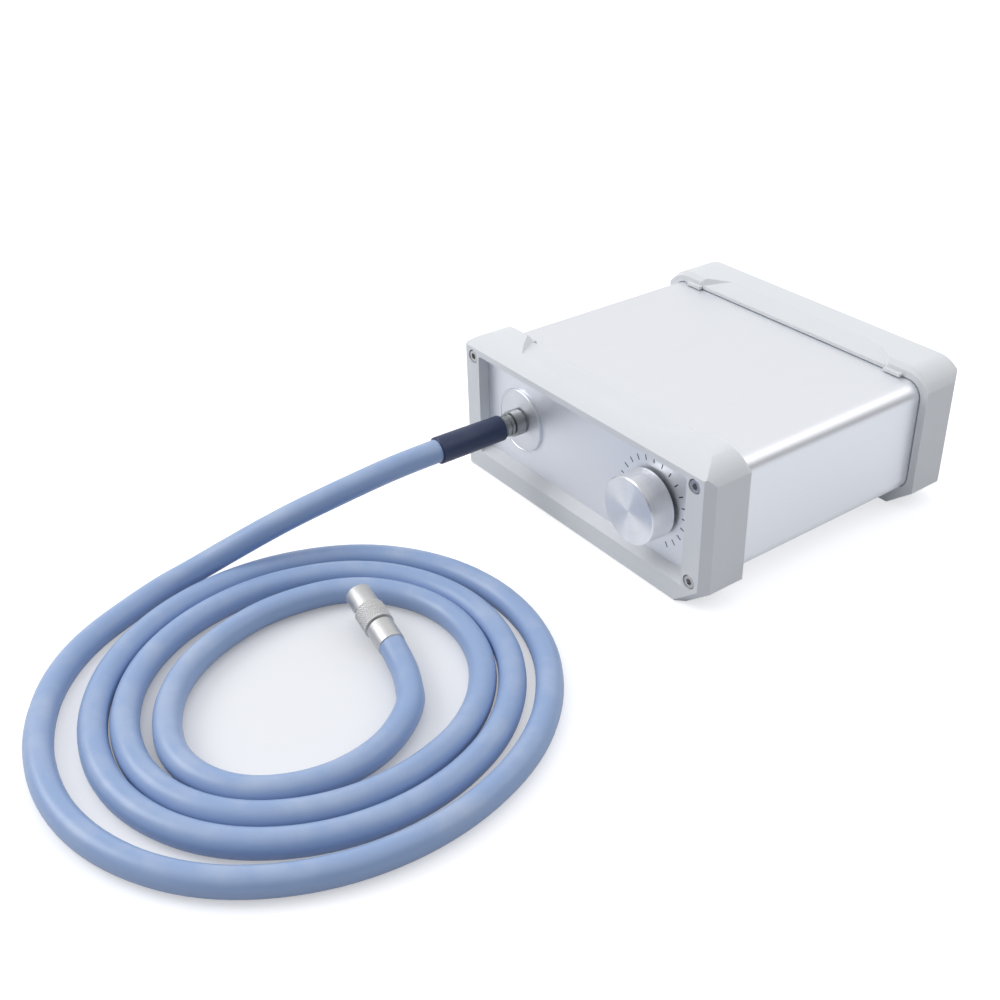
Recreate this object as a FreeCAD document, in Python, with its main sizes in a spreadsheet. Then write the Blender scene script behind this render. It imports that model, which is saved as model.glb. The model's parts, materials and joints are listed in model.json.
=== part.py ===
import FreeCAD, Part
import math
import os

import Sketcher
from FreeCAD import Placement, Rotation, Vector

# Fiber optic illuminator: a lamp case of one extrusion between two moulded bezels, with a light
# port and a brightness knob in front, and a silicone-covered light guide that lies in a loose coil.
#
# Millimetres. X runs across the case, Y from front to back, Z up from the table. Sizes are counted
# from the front bezel's face (y), the middle of the case (x) and the table (z); every sub-part is
# then shifted back by half of the whole depth, so that the origin lies under the middle.

SIZES = [
    # case
    ("case_width", 156),
    ("case_height", 65.4),
    ("case_depth", 145),
    ("side_wall", 3.8),            # bezel beside the body
    ("brow", 5.3),                 # bezel above the body
    ("foot_height", 9),            # bezel below the body
    # bezels
    ("bezel_depth", 21.6),
    ("bezel_face", 5),             # thickness of the face, and so the depth of the window
    ("crown_inset", 12.6),         # from the side to the flat top
    ("crown_radius", 14),
    ("foot_inset", 12.2),          # of the cut lower corner on the right
    ("foot_crease", 9.7),
    ("foot_corner", 2),            # of the round lower corner on the left
    ("foot_edge", 0.8),
    ("bevel_rise", 5.2),           # of the front bezel's curved top
    ("bevel_radius", 22),
    ("facet_inset", 2.6),
    ("facet_run", 4.2),
    ("lip_chamfer", 1.9),
    ("tongue_reach", 2.2),         # of the two small tongues that lie on the body
    ("tongue_inset", 13.8),
    ("tongue_width", 8.7),
    ("tongue_thick", 1.7),
    ("scoop_front_start", 7.6),    # of the slope down to the body, from the bezel's face
    ("scoop_rear_start", 13.4),
    ("scoop_drop", 3.4),
    ("scoop_tip_inset", 33.7),
    ("scoop_low_inset", 22.6),
    ("scoop_top_inset", 19.7),
    ("window_side_lap", 8),
    ("window_low_lap", 3.4),
    ("window_high_lap", 2.7),
    ("ledge_lap", 0.7),            # of the window's sloping lower side, at the face
    ("window_corner", 1.5),
    # body and panels
    ("body_corner", 7),
    ("body_wall", 2),
    ("slide_gap", 0.3),
    ("panel_thick", 2),
    ("boss_radius", 2.8),
    ("rail_height", 8),            # of the card rails above the body's floor
    ("rail_gap", 1.9),
    ("rail_thick", 1.4),
    ("rail_reach", 3),
    # fasteners
    ("screw_inset_side", 3.9),
    ("screw_inset_top", 4.3),
    ("screw_radius", 1.5),
    ("screw_clearance", 0.2),
    ("thread_clearance", 0.05),
    ("screw_head_radius", 2.75),
    ("screw_head_height", 3),
    ("screw_length", 15),
    ("socket_depth", 1.6),
    ("socket_radius", 1.45),
    ("counterbore_radius", 3.1),
    ("counterbore_depth", 3.3),
    # light port
    ("port_inset", 36.3),          # of the port's axis from the case's side
    ("control_rise", 0.15),        # of the port and the knob above the body's middle
    ("port_flange_radius", 14.4),
    ("port_flange_thick", 1.2),
    ("port_rim", 0.8),
    ("port_thread_radius", 10),
    ("port_length", 20),           # behind the panel's face
    ("port_nut_radius", 14.4),
    ("port_nut_thick", 4),
    ("grip_ring_radius", 6.1),
    ("grip_ring_width", 1.4),
    ("grip_ring_place", 10),
    ("fit_gap", 0.05),
    # optics
    ("tube_radius", 12),
    ("tube_lap", 8),
    ("tube_stop", 2),
    ("aperture_radius", 6),
    ("lens_radius", 9),
    ("lens_edge", 2.5),
    ("lens_bulge_radius", 11),
    ("lens_ring_width", 2),
    ("lens_ring_bore", 7.6),
    ("lamp_distance", 40),         # from the panel's face to the lamp board
    ("lamp_board_radius", 10.5),
    ("lamp_board_thick", 1.6),
    ("lamp_width", 5),
    ("lamp_thick", 0.9),
    ("lamp_dome_radius", 2),
    ("lamp_screw_spacing", 13),
    ("lamp_screw_length", 6),
    # heat sink
    ("sink_width", 49),
    ("sink_top_gap", 3.1),         # under the body's top
    ("sink_base", 6),
    ("sink_depth", 50),
    ("fin_thick", 1.8),
    ("fin_count", 9),
    ("sink_screw_spacing", 27),
    ("sink_screw_length", 10),
    # fan
    ("fan_width", 40),
    ("fan_thick", 10),
    ("fan_bore_radius", 19),
    ("fan_pitch", 32),
    ("fan_corner", 3),
    ("fan_hub_radius", 9),
    ("fan_strut_width", 2.4),
    ("fan_plate", 1.5),
    ("fan_gap", 0.6),
    ("fan_shaft_radius", 1),
    ("blade_thick", 1.1),
    ("blade_count", 7),
    ("fan_screw_length", 13),
    # brightness control
    ("knob_inset", 35),            # of the knob's axis from the case's side
    ("knob_proud", 7.5),           # in front of the bezels
    ("knob_radius", 14.3),
    ("knob_length", 11),
    ("knob_taper", 0.1),
    ("knob_edge", 0.4),
    ("knob_hollow_radius", 8),
    ("knob_hollow_depth", 3),
    ("knob_bore_depth", 5),
    ("set_screw_length", 6),
    ("shaft_radius", 3),
    ("pot_bush_radius", 4.7),
    ("pot_bush_length", 4),        # in front of the panel
    ("pot_radius", 8.2),
    ("pot_length", 9),
    ("shaft_end_gap", 0.3),
    ("pot_nut_radius", 6.3),
    ("pot_nut_thick", 2),
    ("washer_radius", 6.6),
    ("washer_thick", 0.5),
    ("terminal_pitch", 5),
    # driver board
    ("board_width", 62),
    ("board_length", 84),
    ("board_thick", 1.6),
    ("board_corner", 2),
    ("board_right_gap", 6),        # from the body's inner side
    ("board_front", 32),           # from the front bezel's face
    ("board_hole_inset", 4),
    ("standoff_height", 6),
    ("standoff_radius", 3.2),
    ("coil_core_radius", 7),
    ("coil_core_height", 9),
    ("capacitor_radius", 5),
    ("capacitor_height", 16),
    ("chip_length", 8),
    ("chip_width", 5),
    ("chip_height", 1.7),
    ("terminal_length", 15),
    ("terminal_depth", 8),
    ("terminal_height", 9),
    # power inlet and switch
    ("jack_inset", 52),            # of the jack's axis from the case's side
    ("jack_flange_radius", 7.2),
    ("jack_flange_thick", 1.4),
    ("jack_thread_radius", 5.5),
    ("jack_length", 14),
    ("jack_bore_radius", 2.8),
    ("jack_bore_depth", 9),
    ("jack_pin_radius", 1),
    ("jack_nut_radius", 8.1),
    ("jack_nut_thick", 3),
    ("switch_inset", 30),          # of the switch's middle from the case's side
    ("switch_flange_width", 15),
    ("switch_flange_tall", 21),
    ("switch_flange_thick", 1.6),
    ("switch_body_width", 13),
    ("switch_body_tall", 19.2),
    ("switch_body_depth", 14),
    ("rocker_width", 9.4),
    ("rocker_tall", 15.2),
    ("rocker_gap", 0.3),
    ("rocker_rise", 4.4),          # from the pivot to the rocker's raised ends
    ("rocker_dip", 1.3),
    ("rocker_pivot_depth", 2.5),   # of the pivot below the flange
    ("rocker_pin_radius", 0.95),
    ("rocker_pin_length", 1.3),
    ("rocker_tilt", 9),            # degrees
    ("cavity_depth", 8),
    ("vent_length", 30),
    ("vent_width", 2.6),
    ("vent_pitch", 4.8),
    ("vent_count", 7),
    ("inlet_x", 6),
    ("inlet_count", 5),
    # light guide
    ("cable_radius", 5),
    ("plug_gap", 0.3),
    ("plug_radius", 5),
    ("plug_depth", 19),
    ("collar_radius", 5.75),
    ("collar_length", 4.8),
    ("plug_ring_radius", 4.95),
    ("plug_neck_radius", 4.45),
    ("plug_neck_length", 5),
    ("boot_radius", 5.6),
    ("boot_end_radius", 5.85),
    ("boot_length", 32.5),
    ("fibre_radius", 3.2),
    ("fibre_thick", 1),
    ("coil_outer_radius", 92),     # of the first turn, which the lead comes down to
    ("coil_ring_radius", 81),      # outside of the whole turns
    ("coil_inner_radius", 57),
    ("coil_core", 35),             # inside of the last turn
    ("coil_start_angle", 10),      # degrees past the left, where the lead comes down
    ("coil_first_angle", 330),     # that the first turn covers
    ("coil_last_angle", 228),      # that the last turn covers
    ("tip_sleeve_length", 10.2),
    ("tip_sleeve_radius", 5.3),
    ("tip_knurl_length", 9),
    ("tip_knurl_radius", 6),
    ("tip_nose_length", 10),
    ("tip_nose_radius", 5.2),
    ("tip_groove", 0.5),
]

# The light guide's route, chosen by hand: the loose lead from the boot down to the coil, and the
# short tail from the coil's last turn up to the end fitting, which leans on the next turn out.
COIL_CENTRE = (25.0, -145.0)
LEAD_POINTS = [
    (-41.7, -57.0, 34.7),
    (-45.0, -81.0, 30.2),
    (-50.6, -105.0, 23.6),
    (-56.8, -127.0, 14.8),
    (-60.6, -143.5, 8.3),
    (-60.9, -160.1, 5.2),
]
TAIL_POINTS = [
    (46.2, -111.1, 5.0),
    (36.4, -107.3, 5.1),
    (25.8, -105.3, 6.5),
]
TIP_DIRECTION = (-29.4, 3.6, 4.9)
GROUND = 0.0


class Size:
    """A length in millimetres, kept together with the sheet formula that gives it."""

    def __init__(self, number, formula):
        self.number = number
        self.formula = formula

    def __add__(self, other):
        other = as_size(other)
        return Size(self.number + other.number, f"({self.formula} + {other.formula})")

    def __sub__(self, other):
        other = as_size(other)
        return Size(self.number - other.number, f"({self.formula} - {other.formula})")

    def __mul__(self, other):
        other = as_size(other)
        return Size(self.number * other.number, f"({self.formula} * {other.formula})")

    def __truediv__(self, other):
        other = as_size(other)
        return Size(self.number / other.number, f"({self.formula} / {other.formula})")

    def __neg__(self):
        return Size(-self.number, f"(0 - {self.formula})")

    def __radd__(self, other):
        return as_size(other) + self

    def __rsub__(self, other):
        return as_size(other) - self

    def __rmul__(self, other):
        return as_size(other) * self


def as_size(value):
    """A plain number as a Size."""
    if isinstance(value, Size):
        return value
    return Size(float(value), f"({float(value)})")


def root(value):
    """The square root of a Size."""
    return Size(math.sqrt(value.number), f"sqrt({value.formula})")


doc = FreeCAD.newDocument("fiber_optic_illuminator")
sheet = doc.addObject("Spreadsheet::Sheet", "sizes")
size = {}
for row, (alias, number) in enumerate(SIZES, start=1):
    sheet.set(f"A{row}", alias)
    sheet.set(f"B{row}", str(number))
    sheet.setAlias(f"B{row}", alias)
    size[alias] = Size(float(number), f"sizes.{alias}")
doc.recompute()

# Places that several sub-parts share.
case_width = size["case_width"]
case_height = size["case_height"]
case_depth = size["case_depth"]
case_half = case_width / 2
body_half = case_half - size["side_wall"]
body_low = size["foot_height"]
body_high = case_height - size["brow"]
body_middle = (body_low + body_high) / 2
floor_inside = body_low + size["body_wall"]
panel_face = size["bezel_face"]
panel_back = panel_face + size["panel_thick"]
rear_panel_face = case_depth - size["bezel_face"]
rear_panel_back = rear_panel_face - size["panel_thick"]
screw_x = body_half - size["screw_inset_side"]
screw_low = body_low + size["screw_inset_top"]
screw_high = body_high - size["screw_inset_top"]
hole_radius = size["screw_radius"] + size["screw_clearance"]
tapped_radius = size["screw_radius"] + size["thread_clearance"]
port_x = size["port_inset"] - case_half
knob_x = case_half - size["knob_inset"]
jack_x = case_half - size["jack_inset"]
switch_x = case_half - size["switch_inset"]
control_height = body_middle + size["control_rise"]
lamp_face = panel_face + size["lamp_distance"]
sink_face = lamp_face + size["lamp_board_thick"]
depth_middle = (case_depth - size["knob_proud"]) / 2

sub_parts = []


def bind(thing, prop, value):
    """Set a property, and tie it to the sheet when its value comes from there."""
    if isinstance(value, Size):
        thing.setExpression(prop, value.formula)
    else:
        setattr(thing, prop, value)


def place(thing, x, y, z, turn=None):
    """Put a sub-part at a place counted from the front face, the middle and the table."""
    spots = [as_size(x), as_size(y) - depth_middle, as_size(z)]
    if turn is not None:
        thing.Placement = Placement(Vector(0, 0, 0), turn)
    for letter, spot in zip("xyz", spots):
        thing.setExpression(f"Placement.Base.{letter}", spot.formula)


def keep(thing, label):
    """Count an object as a finished sub-part with this name."""
    thing.Label = label
    sub_parts.append(thing)
    return thing


def new_body(label):
    body = doc.addObject("PartDesign::Body", label)
    return keep(body, label)


# Which way a sketch plane's normal points along its own axis.
FACING = {"XY_Plane": 1, "XZ_Plane": -1, "YZ_Plane": 1}


def new_sketch(body, plane, start):
    """An empty sketch on one of the body's own planes, moved along its axis to start."""
    sketch = body.newObject("Sketcher::SketchObject", "Sketch")
    flat = [feature for feature in body.Origin.OriginFeatures if feature.Role == plane]
    sketch.AttachmentSupport = [(flat[0], "")]
    sketch.MapMode = "FlatFace"
    lift = as_size(start) * FACING[plane]
    sketch.setExpression(".AttachmentOffset.Base.z", lift.formula)
    return sketch


def fix_point(sketch, geometry, end, across, up):
    """Tie a point to its distances from the sketch's origin."""
    for kind, value in (("DistanceX", as_size(across)), ("DistanceY", as_size(up))):
        index = sketch.addConstraint(Sketcher.Constraint(kind, -1, 1, geometry, end, value.number))
        if "sizes." in value.formula:
            sketch.setExpression(f"Constraints[{index}]", value.formula)


def fix_radius(sketch, geometry, value):
    value = as_size(value)
    index = sketch.addConstraint(Sketcher.Constraint("Radius", geometry, value.number))
    if "sizes." in value.formula:
        sketch.setExpression(f"Constraints[{index}]", value.formula)


def draw_loop(sketch, path):
    """A closed loop of straight sides and arcs.

    Each entry is (across, up), or (across, up, radius) where the side that starts there is an
    arc. The arc bulges to the right of travel, or to the left when its radius has a minus sign.
    """
    first = sketch.GeometryCount
    count = len(path)
    ends = []
    for index, corner in enumerate(path):
        here = Vector(as_size(corner[0]).number, as_size(corner[1]).number, 0)
        after = path[(index + 1) % count]
        there = Vector(as_size(after[0]).number, as_size(after[1]).number, 0)
        if len(corner) == 2:
            sketch.addGeometry(Part.LineSegment(here, there))
            ends.append((1, 2))
            continue
        radius = as_size(corner[2]).number
        side = 1 if radius > 0 else -1
        chord = there - here
        height = math.sqrt(max(radius * radius - chord.Length ** 2 / 4, 0))
        left = Vector(-chord.y, chord.x, 0) / chord.Length
        centre = (here + there) / 2 + left * (side * height)
        begin, finish = (here, there) if side > 0 else (there, here)
        angles = [math.atan2(point.y - centre.y, point.x - centre.x) for point in (begin, finish)]
        circle = Part.Circle(centre, Vector(0, 0, 1), abs(radius))
        sketch.addGeometry(Part.ArcOfCircle(circle, angles[0], angles[1]))
        ends.append((1, 2) if side > 0 else (2, 1))
    for index, corner in enumerate(path):
        after = (index + 1) % count
        here = (first + index, ends[index][1])
        there = (first + after, ends[after][0])
        sketch.addConstraint(Sketcher.Constraint("Coincident", *here, *there))
        fix_point(sketch, first + index, ends[index][0], corner[0], corner[1])
    for index, corner in enumerate(path):
        if len(corner) == 3:
            sign = as_size(corner[2])
            fix_radius(sketch, first + index, sign if sign.number > 0 else -sign)


def draw_circle(sketch, across, up, radius):
    centre = Vector(as_size(across).number, as_size(up).number, 0)
    circle = Part.Circle(centre, Vector(0, 0, 1), as_size(radius).number)
    index = sketch.addGeometry(circle)
    fix_point(sketch, index, 3, across, up)
    fix_radius(sketch, index, radius)


def rounded(half_width, low, high, corner, middle=0):
    """The path of an upright rectangle with round corners."""
    left = middle - half_width
    right = middle + half_width
    return [
        (left + corner, low),
        (right - corner, low, corner),
        (right, low + corner),
        (right, high - corner, corner),
        (right - corner, high),
        (left + corner, high, corner),
        (left, high - corner),
        (left, low + corner, corner),
    ]


def block(half_width, low, high, middle=0):
    """The path of an upright rectangle with sharp corners."""
    left = middle - half_width
    right = middle + half_width
    return [(left, low), (right, low), (right, high), (left, high)]


def grow(body, plane, start, length, loops=(), circles=()):
    """Add the loops' area from start, length far along the plane's axis."""
    sketch = new_sketch(body, plane, start)
    for path in loops:
        draw_loop(sketch, path)
    for circle in circles:
        draw_circle(sketch, *circle)
    pad = body.newObject("PartDesign::Pad", "Pad")
    pad.Profile = sketch
    pad.Reversed = FACING[plane] < 0
    bind(pad, "Length", length)
    return pad


def carve(body, plane, start, length, loops=(), circles=()):
    """Cut the loops' area from start, length far along the plane's axis."""
    sketch = new_sketch(body, plane, start)
    for path in loops:
        draw_loop(sketch, path)
    for circle in circles:
        draw_circle(sketch, *circle)
    pocket = body.newObject("PartDesign::Pocket", "Pocket")
    pocket.Profile = sketch
    pocket.Reversed = FACING[plane] > 0
    bind(pocket, "Length", length)
    return pocket


def turn(body, path, plane="YZ_Plane", axis="H_Axis", angle=360, kind="Revolution"):
    """Spin a profile about a sketch axis; on the YZ plane, H_Axis is the line from front to back."""
    sketch = new_sketch(body, plane, 0)
    draw_loop(sketch, path)
    spun = body.newObject(f"PartDesign::{kind}", kind)
    spun.Profile = sketch
    spun.ReferenceAxis = (sketch, [axis])
    bind(spun, "Angle", angle)
    return spun


def repeat_line(body, feature, axis, length, count):
    """Copies of a feature along one of the body's axes."""
    pattern = body.newObject("PartDesign::LinearPattern", "LinearPattern")
    pattern.Originals = [feature]
    line = [item for item in body.Origin.OriginFeatures if item.Role == axis]
    pattern.Direction = (line[0], [""])
    bind(pattern, "Length", length)
    bind(pattern, "Occurrences", count)
    body.Tip = pattern
    return pattern


def repeat_round(body, feature, axis, count):
    """Copies of a feature all round one of the body's axes."""
    pattern = body.newObject("PartDesign::PolarPattern", "PolarPattern")
    pattern.Originals = [feature]
    line = [item for item in body.Origin.OriginFeatures if item.Role == axis]
    pattern.Axis = (line[0], [""])
    pattern.Angle = 360
    bind(pattern, "Occurrences", count)
    body.Tip = pattern
    return pattern


def four_screws():
    """The case screws' places across and up."""
    return [(x, z) for x in (-screw_x, screw_x) for z in (screw_low, screw_high)]


# ---------------------------------------------------------------- case

def turned_round(path):
    """The same loop seen from behind, with left and right changed over."""
    turned = []
    for index in range(len(path) - 1, -1, -1):
        across, up = path[index][:2]
        turned.append((-as_size(across), up) + tuple(path[index - 1][2:]))
    return turned


def make_bezel(label, is_front):
    """A moulded end frame, drawn with its face at y = 0 and the body coming from +y."""
    body = new_body(label)

    def seen(path):
        return path if is_front else turned_round(path)

    depth = size["bezel_depth"]
    crown_half = case_half - size["crown_inset"]
    crown_radius = size["crown_radius"]
    rise = crown_radius * crown_radius - size["crown_inset"] * size["crown_inset"]
    crease = case_height - crown_radius + root(rise)
    foot_half = case_half - size["foot_inset"]
    foot_crease = size["foot_crease"]
    foot_corner = size["foot_corner"]
    outside = case_half + 1

    def outline(top, radius):
        """The frame's outline, its lower right corner cut off and its lower left one round."""
        return seen([
            (-case_half + foot_corner, GROUND),
            (foot_half, GROUND),
            (case_half, foot_crease),
            (case_half, crease, radius),
            (crown_half, top),
            (-crown_half, top, radius),
            (-case_half, crease),
            (-case_half, foot_corner, foot_corner),
        ])

    # the frame, with a chamfer on the crown's rear edge that dies out at the sides' creases
    chamfer = size["lip_chamfer"]
    lip_top = case_height - chamfer
    lip_rise = lip_top - crease
    lip_reach = size["crown_inset"] * size["crown_inset"] + lip_rise * lip_rise
    grow(body, "XZ_Plane", 0, depth - chamfer, [outline(case_height, crown_radius)])
    sections = []
    for along, path in ((depth - chamfer, outline(case_height, crown_radius)),
                        (depth, outline(lip_top, lip_reach / (lip_rise * 2)))):
        sketch = new_sketch(body, "XZ_Plane", along)
        draw_loop(sketch, path)
        sections.append(sketch)
    lip = body.newObject("PartDesign::AdditiveLoft", "Lip")
    lip.Profile = sections[0]
    lip.Sections = [sections[1]]
    lip.Ruled = True

    # the two tongues
    tongue_half = size["tongue_width"] / 2
    tongue_x = case_half - size["tongue_inset"] - tongue_half
    tongue_high = body_high + size["tongue_thick"]
    grow(body, "XZ_Plane", depth, size["tongue_reach"], [
        block(tongue_half, body_high, tongue_high, side * tongue_x) for side in (-1, 1)])

    # the slope down to the body, with a leaning facet at each end
    curve = size["bevel_radius"]
    curve_run = root(curve * size["bevel_rise"] * 2 - size["bevel_rise"] * size["bevel_rise"])
    if is_front:
        start = size["scoop_front_start"]
        ahead = curve_run - start
        level = case_height - curve + root(curve * curve - ahead * ahead)
    else:
        start = size["scoop_rear_start"]
        level = case_height
    run = depth - start
    fall = level - (case_height - size["scoop_drop"])
    tip_half = case_half - size["scoop_tip_inset"]
    low_half = case_half - size["scoop_low_inset"]
    top_half = case_half - size["scoop_top_inset"]
    lean = (top_half - low_half) / size["scoop_drop"]
    sections = []
    for along in (run + 1, as_size(0)):
        half = tip_half + along * (low_half - tip_half) / run
        floor = level - along * fall / run
        spread = lean * (case_height + 1 - floor)
        sketch = new_sketch(body, "XZ_Plane", start + along)
        draw_loop(sketch, [
            (-half, floor),
            (half, floor),
            (half + spread, case_height + 1),
            (-half - spread, case_height + 1),
        ])
        sections.append(sketch)
    scoop = body.newObject("PartDesign::SubtractiveLoft", "Scoop")
    scoop.Profile = sections[0]
    scoop.Sections = [sections[1]]
    scoop.Ruled = True

    # the front bezel's curved top
    if is_front:
        carve(body, "YZ_Plane", -outside, outside * 2, [[
            (0, case_height - size["bevel_rise"], -curve),
            (curve_run, case_height),
            (curve_run, case_height + 1),
            (-1, case_height + 1),
            (-1, case_height - size["bevel_rise"] - 1),
        ]])

    # upright facets at the face's sides, one going on along the cut corner
    facet_half = case_half - size["facet_inset"]
    facet_run = size["facet_run"]
    carve(body, "XY_Plane", -1, case_height + 2, [
        [(facet_half, 0), (facet_half, -1), (outside, -1), (outside, facet_run),
         (case_half, facet_run)],
        [(-facet_half, 0), (-case_half, facet_run), (-outside, facet_run),
         (-outside, -1), (-facet_half, -1)],
    ])
    slant = root(size["foot_inset"] * size["foot_inset"] + foot_crease * foot_crease)
    way = (size["foot_inset"] / slant, foot_crease / slant)
    sections = []
    for along in (facet_run + 1, as_size(-1)):
        back = size["facet_inset"] * (facet_run - along) / facet_run
        corners = []
        for reach, out in ((-6, -back), (-6, as_size(8)), (slant + 3, as_size(8)),
                           (slant + 3, -back)):
            corners.append((foot_half + way[0] * reach + way[1] * out,
                            way[1] * reach - way[0] * out))
        sketch = new_sketch(body, "XZ_Plane", along)
        draw_loop(sketch, seen(corners))
        sections.append(sketch)
    facet = body.newObject("PartDesign::SubtractiveLoft", "FootFacet")
    facet.Profile = sections[0]
    facet.Sections = [sections[1]]
    facet.Ruled = True
    foot_edge = size["foot_edge"]
    carve(body, "YZ_Plane", -outside, outside * 2, [[
        (-1, foot_edge + 1),
        (-1, -1),
        (foot_edge + 1, -1),
    ]])

    # the seat for the panel and the body, the window and its ledge, and the screw holes
    gap = size["slide_gap"]
    carve(body, "XZ_Plane", panel_face, depth + size["tongue_reach"], [
        rounded(body_half + gap, body_low - gap, body_high + gap, size["body_corner"] + gap),
    ])
    window_half = body_half - size["window_side_lap"]
    ledge_front = body_low + size["ledge_lap"]
    ledge_back = body_low + size["window_low_lap"]
    ledge_slope = (ledge_back - ledge_front) / panel_face
    carve(body, "XZ_Plane", -1, panel_face + 2, [rounded(
        window_half,
        ledge_back,
        body_high - size["window_high_lap"],
        size["window_corner"],
    )])
    carve(body, "YZ_Plane", -window_half, window_half * 2, [[
        (-1, ledge_front - ledge_slope),
        (panel_face, ledge_back),
        (panel_face, ledge_back + 3),
        (-1, ledge_back + 3),
    ]])
    carve(body, "XZ_Plane", -1, panel_face + 2,
          circles=[(x, z, hole_radius) for x, z in four_screws()])
    carve(body, "XZ_Plane", 0, size["counterbore_depth"],
          circles=[(x, z, size["counterbore_radius"]) for x, z in four_screws()])
    return body


place(make_bezel("front_bezel", True), 0, 0, 0)
place(make_bezel("rear_bezel", False), 0, case_depth, 0, Rotation(Vector(0, 0, 1), 180))


def make_case_body():
    """The extrusion: a rounded tube with four screw ports and a pair of card rails per side."""
    body = new_body("case_body")
    length = rear_panel_back - panel_back
    wall = size["body_wall"]
    inner_half = body_half - wall
    grow(body, "XZ_Plane", panel_back, length, [
        rounded(body_half, body_low, body_high, size["body_corner"]),
        rounded(inner_half, body_low + wall, body_high - wall, size["body_corner"] - wall),
    ])
    grow(body, "XZ_Plane", panel_back, length,
         circles=[(x, z, size["boss_radius"]) for x, z in four_screws()])
    carve(body, "XZ_Plane", panel_back, length,
          circles=[(x, z, tapped_radius) for x, z in four_screws()])
    rails = []
    root_x = inner_half + wall / 2
    tip_x = inner_half - size["rail_reach"]
    for low in (floor_inside + size["rail_height"],
                floor_inside + size["rail_height"] + size["rail_thick"] + size["rail_gap"]):
        high = low + size["rail_thick"]
        rails.append([(tip_x, low), (root_x, low), (root_x, high), (tip_x, high)])
        rails.append([(-root_x, low), (-tip_x, low), (-tip_x, high), (-root_x, high)])
    grow(body, "XZ_Plane", panel_back, length, rails)

    # countersunk holes in the floor for the heat sink's screws
    hole_y = sink_face + size["sink_base"] / 2
    holes = [(port_x + side * size["sink_screw_spacing"] / 2, hole_y) for side in (-1, 1)]
    carve(body, "XY_Plane", body_low - 1, wall + 2,
          circles=[(x, y, hole_radius) for x, y in holes])
    carve(body, "XY_Plane", body_low - 1, wall / 2 + 1,
          circles=[(x, y, size["counterbore_radius"]) for x, y in holes])
    return body


place(make_case_body(), 0, 0, 0)


def panel_blank(label, face):
    body = new_body(label)
    grow(body, "XZ_Plane", face, size["panel_thick"],
         [rounded(body_half, body_low, body_high, size["body_corner"])])
    return body


def make_front_panel():
    """The recessed plate with the holes for the port, the control's bush and the case screws."""
    body = panel_blank("front_panel", panel_face)
    holes = [(x, z, hole_radius) for x, z in four_screws()]
    holes.append((port_x, control_height, size["port_thread_radius"] + size["fit_gap"]))
    holes.append((knob_x, control_height, size["pot_bush_radius"] + size["fit_gap"]))
    carve(body, "XZ_Plane", panel_face - 1, size["panel_thick"] + 2, circles=holes)
    return body


place(make_front_panel(), 0, 0, 0)


def make_rear_panel():
    """The rear plate: fan slots, inlet slots, and the holes for the jack, switch and screws."""
    body = panel_blank("rear_panel", rear_panel_back)
    through = size["panel_thick"] + 2
    start = rear_panel_back - 1
    fan_screws = [(port_x + a * size["fan_pitch"] / 2, body_middle + b * size["fan_pitch"] / 2)
                  for a in (-1, 1) for b in (-1, 1)]
    holes = [(x, z, hole_radius) for x, z in four_screws() + fan_screws]
    holes.append((jack_x, body_middle,
                  size["jack_thread_radius"] + size["fit_gap"]))
    carve(body, "XZ_Plane", start, through, circles=holes)
    carve(body, "XZ_Plane", start, through, [block(
        size["switch_body_width"] / 2 + size["fit_gap"],
        body_middle - size["switch_body_tall"] / 2 - size["fit_gap"],
        body_middle + size["switch_body_tall"] / 2 + size["fit_gap"],
        switch_x,
    )])
    half_slot = size["vent_width"] / 2
    low = body_middle - size["vent_length"] / 2
    high = body_middle + size["vent_length"] / 2
    span = size["vent_pitch"] * (size["vent_count"] - 1)
    slot = carve(body, "XZ_Plane", start, through,
                 [block(half_slot, low, high, port_x - span / 2)])
    repeat_line(body, slot, "X_Axis", span, size["vent_count"])
    inlet_span = size["vent_pitch"] * (size["inlet_count"] - 1)
    inlet = carve(body, "XZ_Plane", start, through,
                  [block(half_slot, low, high, size["inlet_x"] - inlet_span / 2)])
    repeat_line(body, inlet, "X_Axis", inlet_span, size["inlet_count"])
    return body


place(make_rear_panel(), 0, 0, 0)


def socket_screw(length, head_radius=size["screw_head_radius"],
                 head_height=size["screw_head_height"]):
    """One socket-head screw along +Y, the underside of its head at y = 0."""
    head = Part.makeCylinder(head_radius.number, head_height.number,
                             Vector(0, -head_height.number, 0), Vector(0, 1, 0))
    shank = Part.makeCylinder(size["screw_radius"].number, length.number,
                              Vector(0, 0, 0), Vector(0, 1, 0))
    corners = []
    for step in range(7):
        angle = math.radians(60 * step)
        corners.append(Vector(size["socket_radius"].number * math.cos(angle),
                              -head_height.number,
                              size["socket_radius"].number * math.sin(angle)))
    hexagon = Part.Face(Part.makePolygon(corners))
    socket = hexagon.extrude(Vector(0, size["socket_depth"].number, 0))
    edges = [edge for edge in head.Edges
             if abs(edge.BoundBox.YMax + head_height.number) < 0.01 and edge.Closed]
    head = head.makeFillet(0.3, edges)
    return head.fuse(shank).cut(socket)


def set_of(label, shape, spots, turning=None):
    """Equal pieces at several places, as one sub-part of separate solids."""
    copies = []
    for x, y, z in spots:
        copy = shape.copy()
        turned = turning if turning is not None else Rotation()
        spot = Vector(as_size(x).number, (as_size(y) - depth_middle).number, as_size(z).number)
        copy.Placement = Placement(spot, turned)
        copies.append(copy)
    feature = doc.addObject("Part::Feature", label)
    feature.Shape = Part.makeCompound(copies)
    return keep(feature, label)


case_screw = socket_screw(size["screw_length"])
half_turn = Rotation(Vector(0, 0, 1), 180)
set_of("front_screws", case_screw,
       [(x, size["counterbore_depth"], z) for x, z in four_screws()])
set_of("rear_screws", case_screw,
       [(x, case_depth - size["counterbore_depth"], z) for x, z in four_screws()], half_turn)


# ---------------------------------------------------------------- light port and optics

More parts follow.
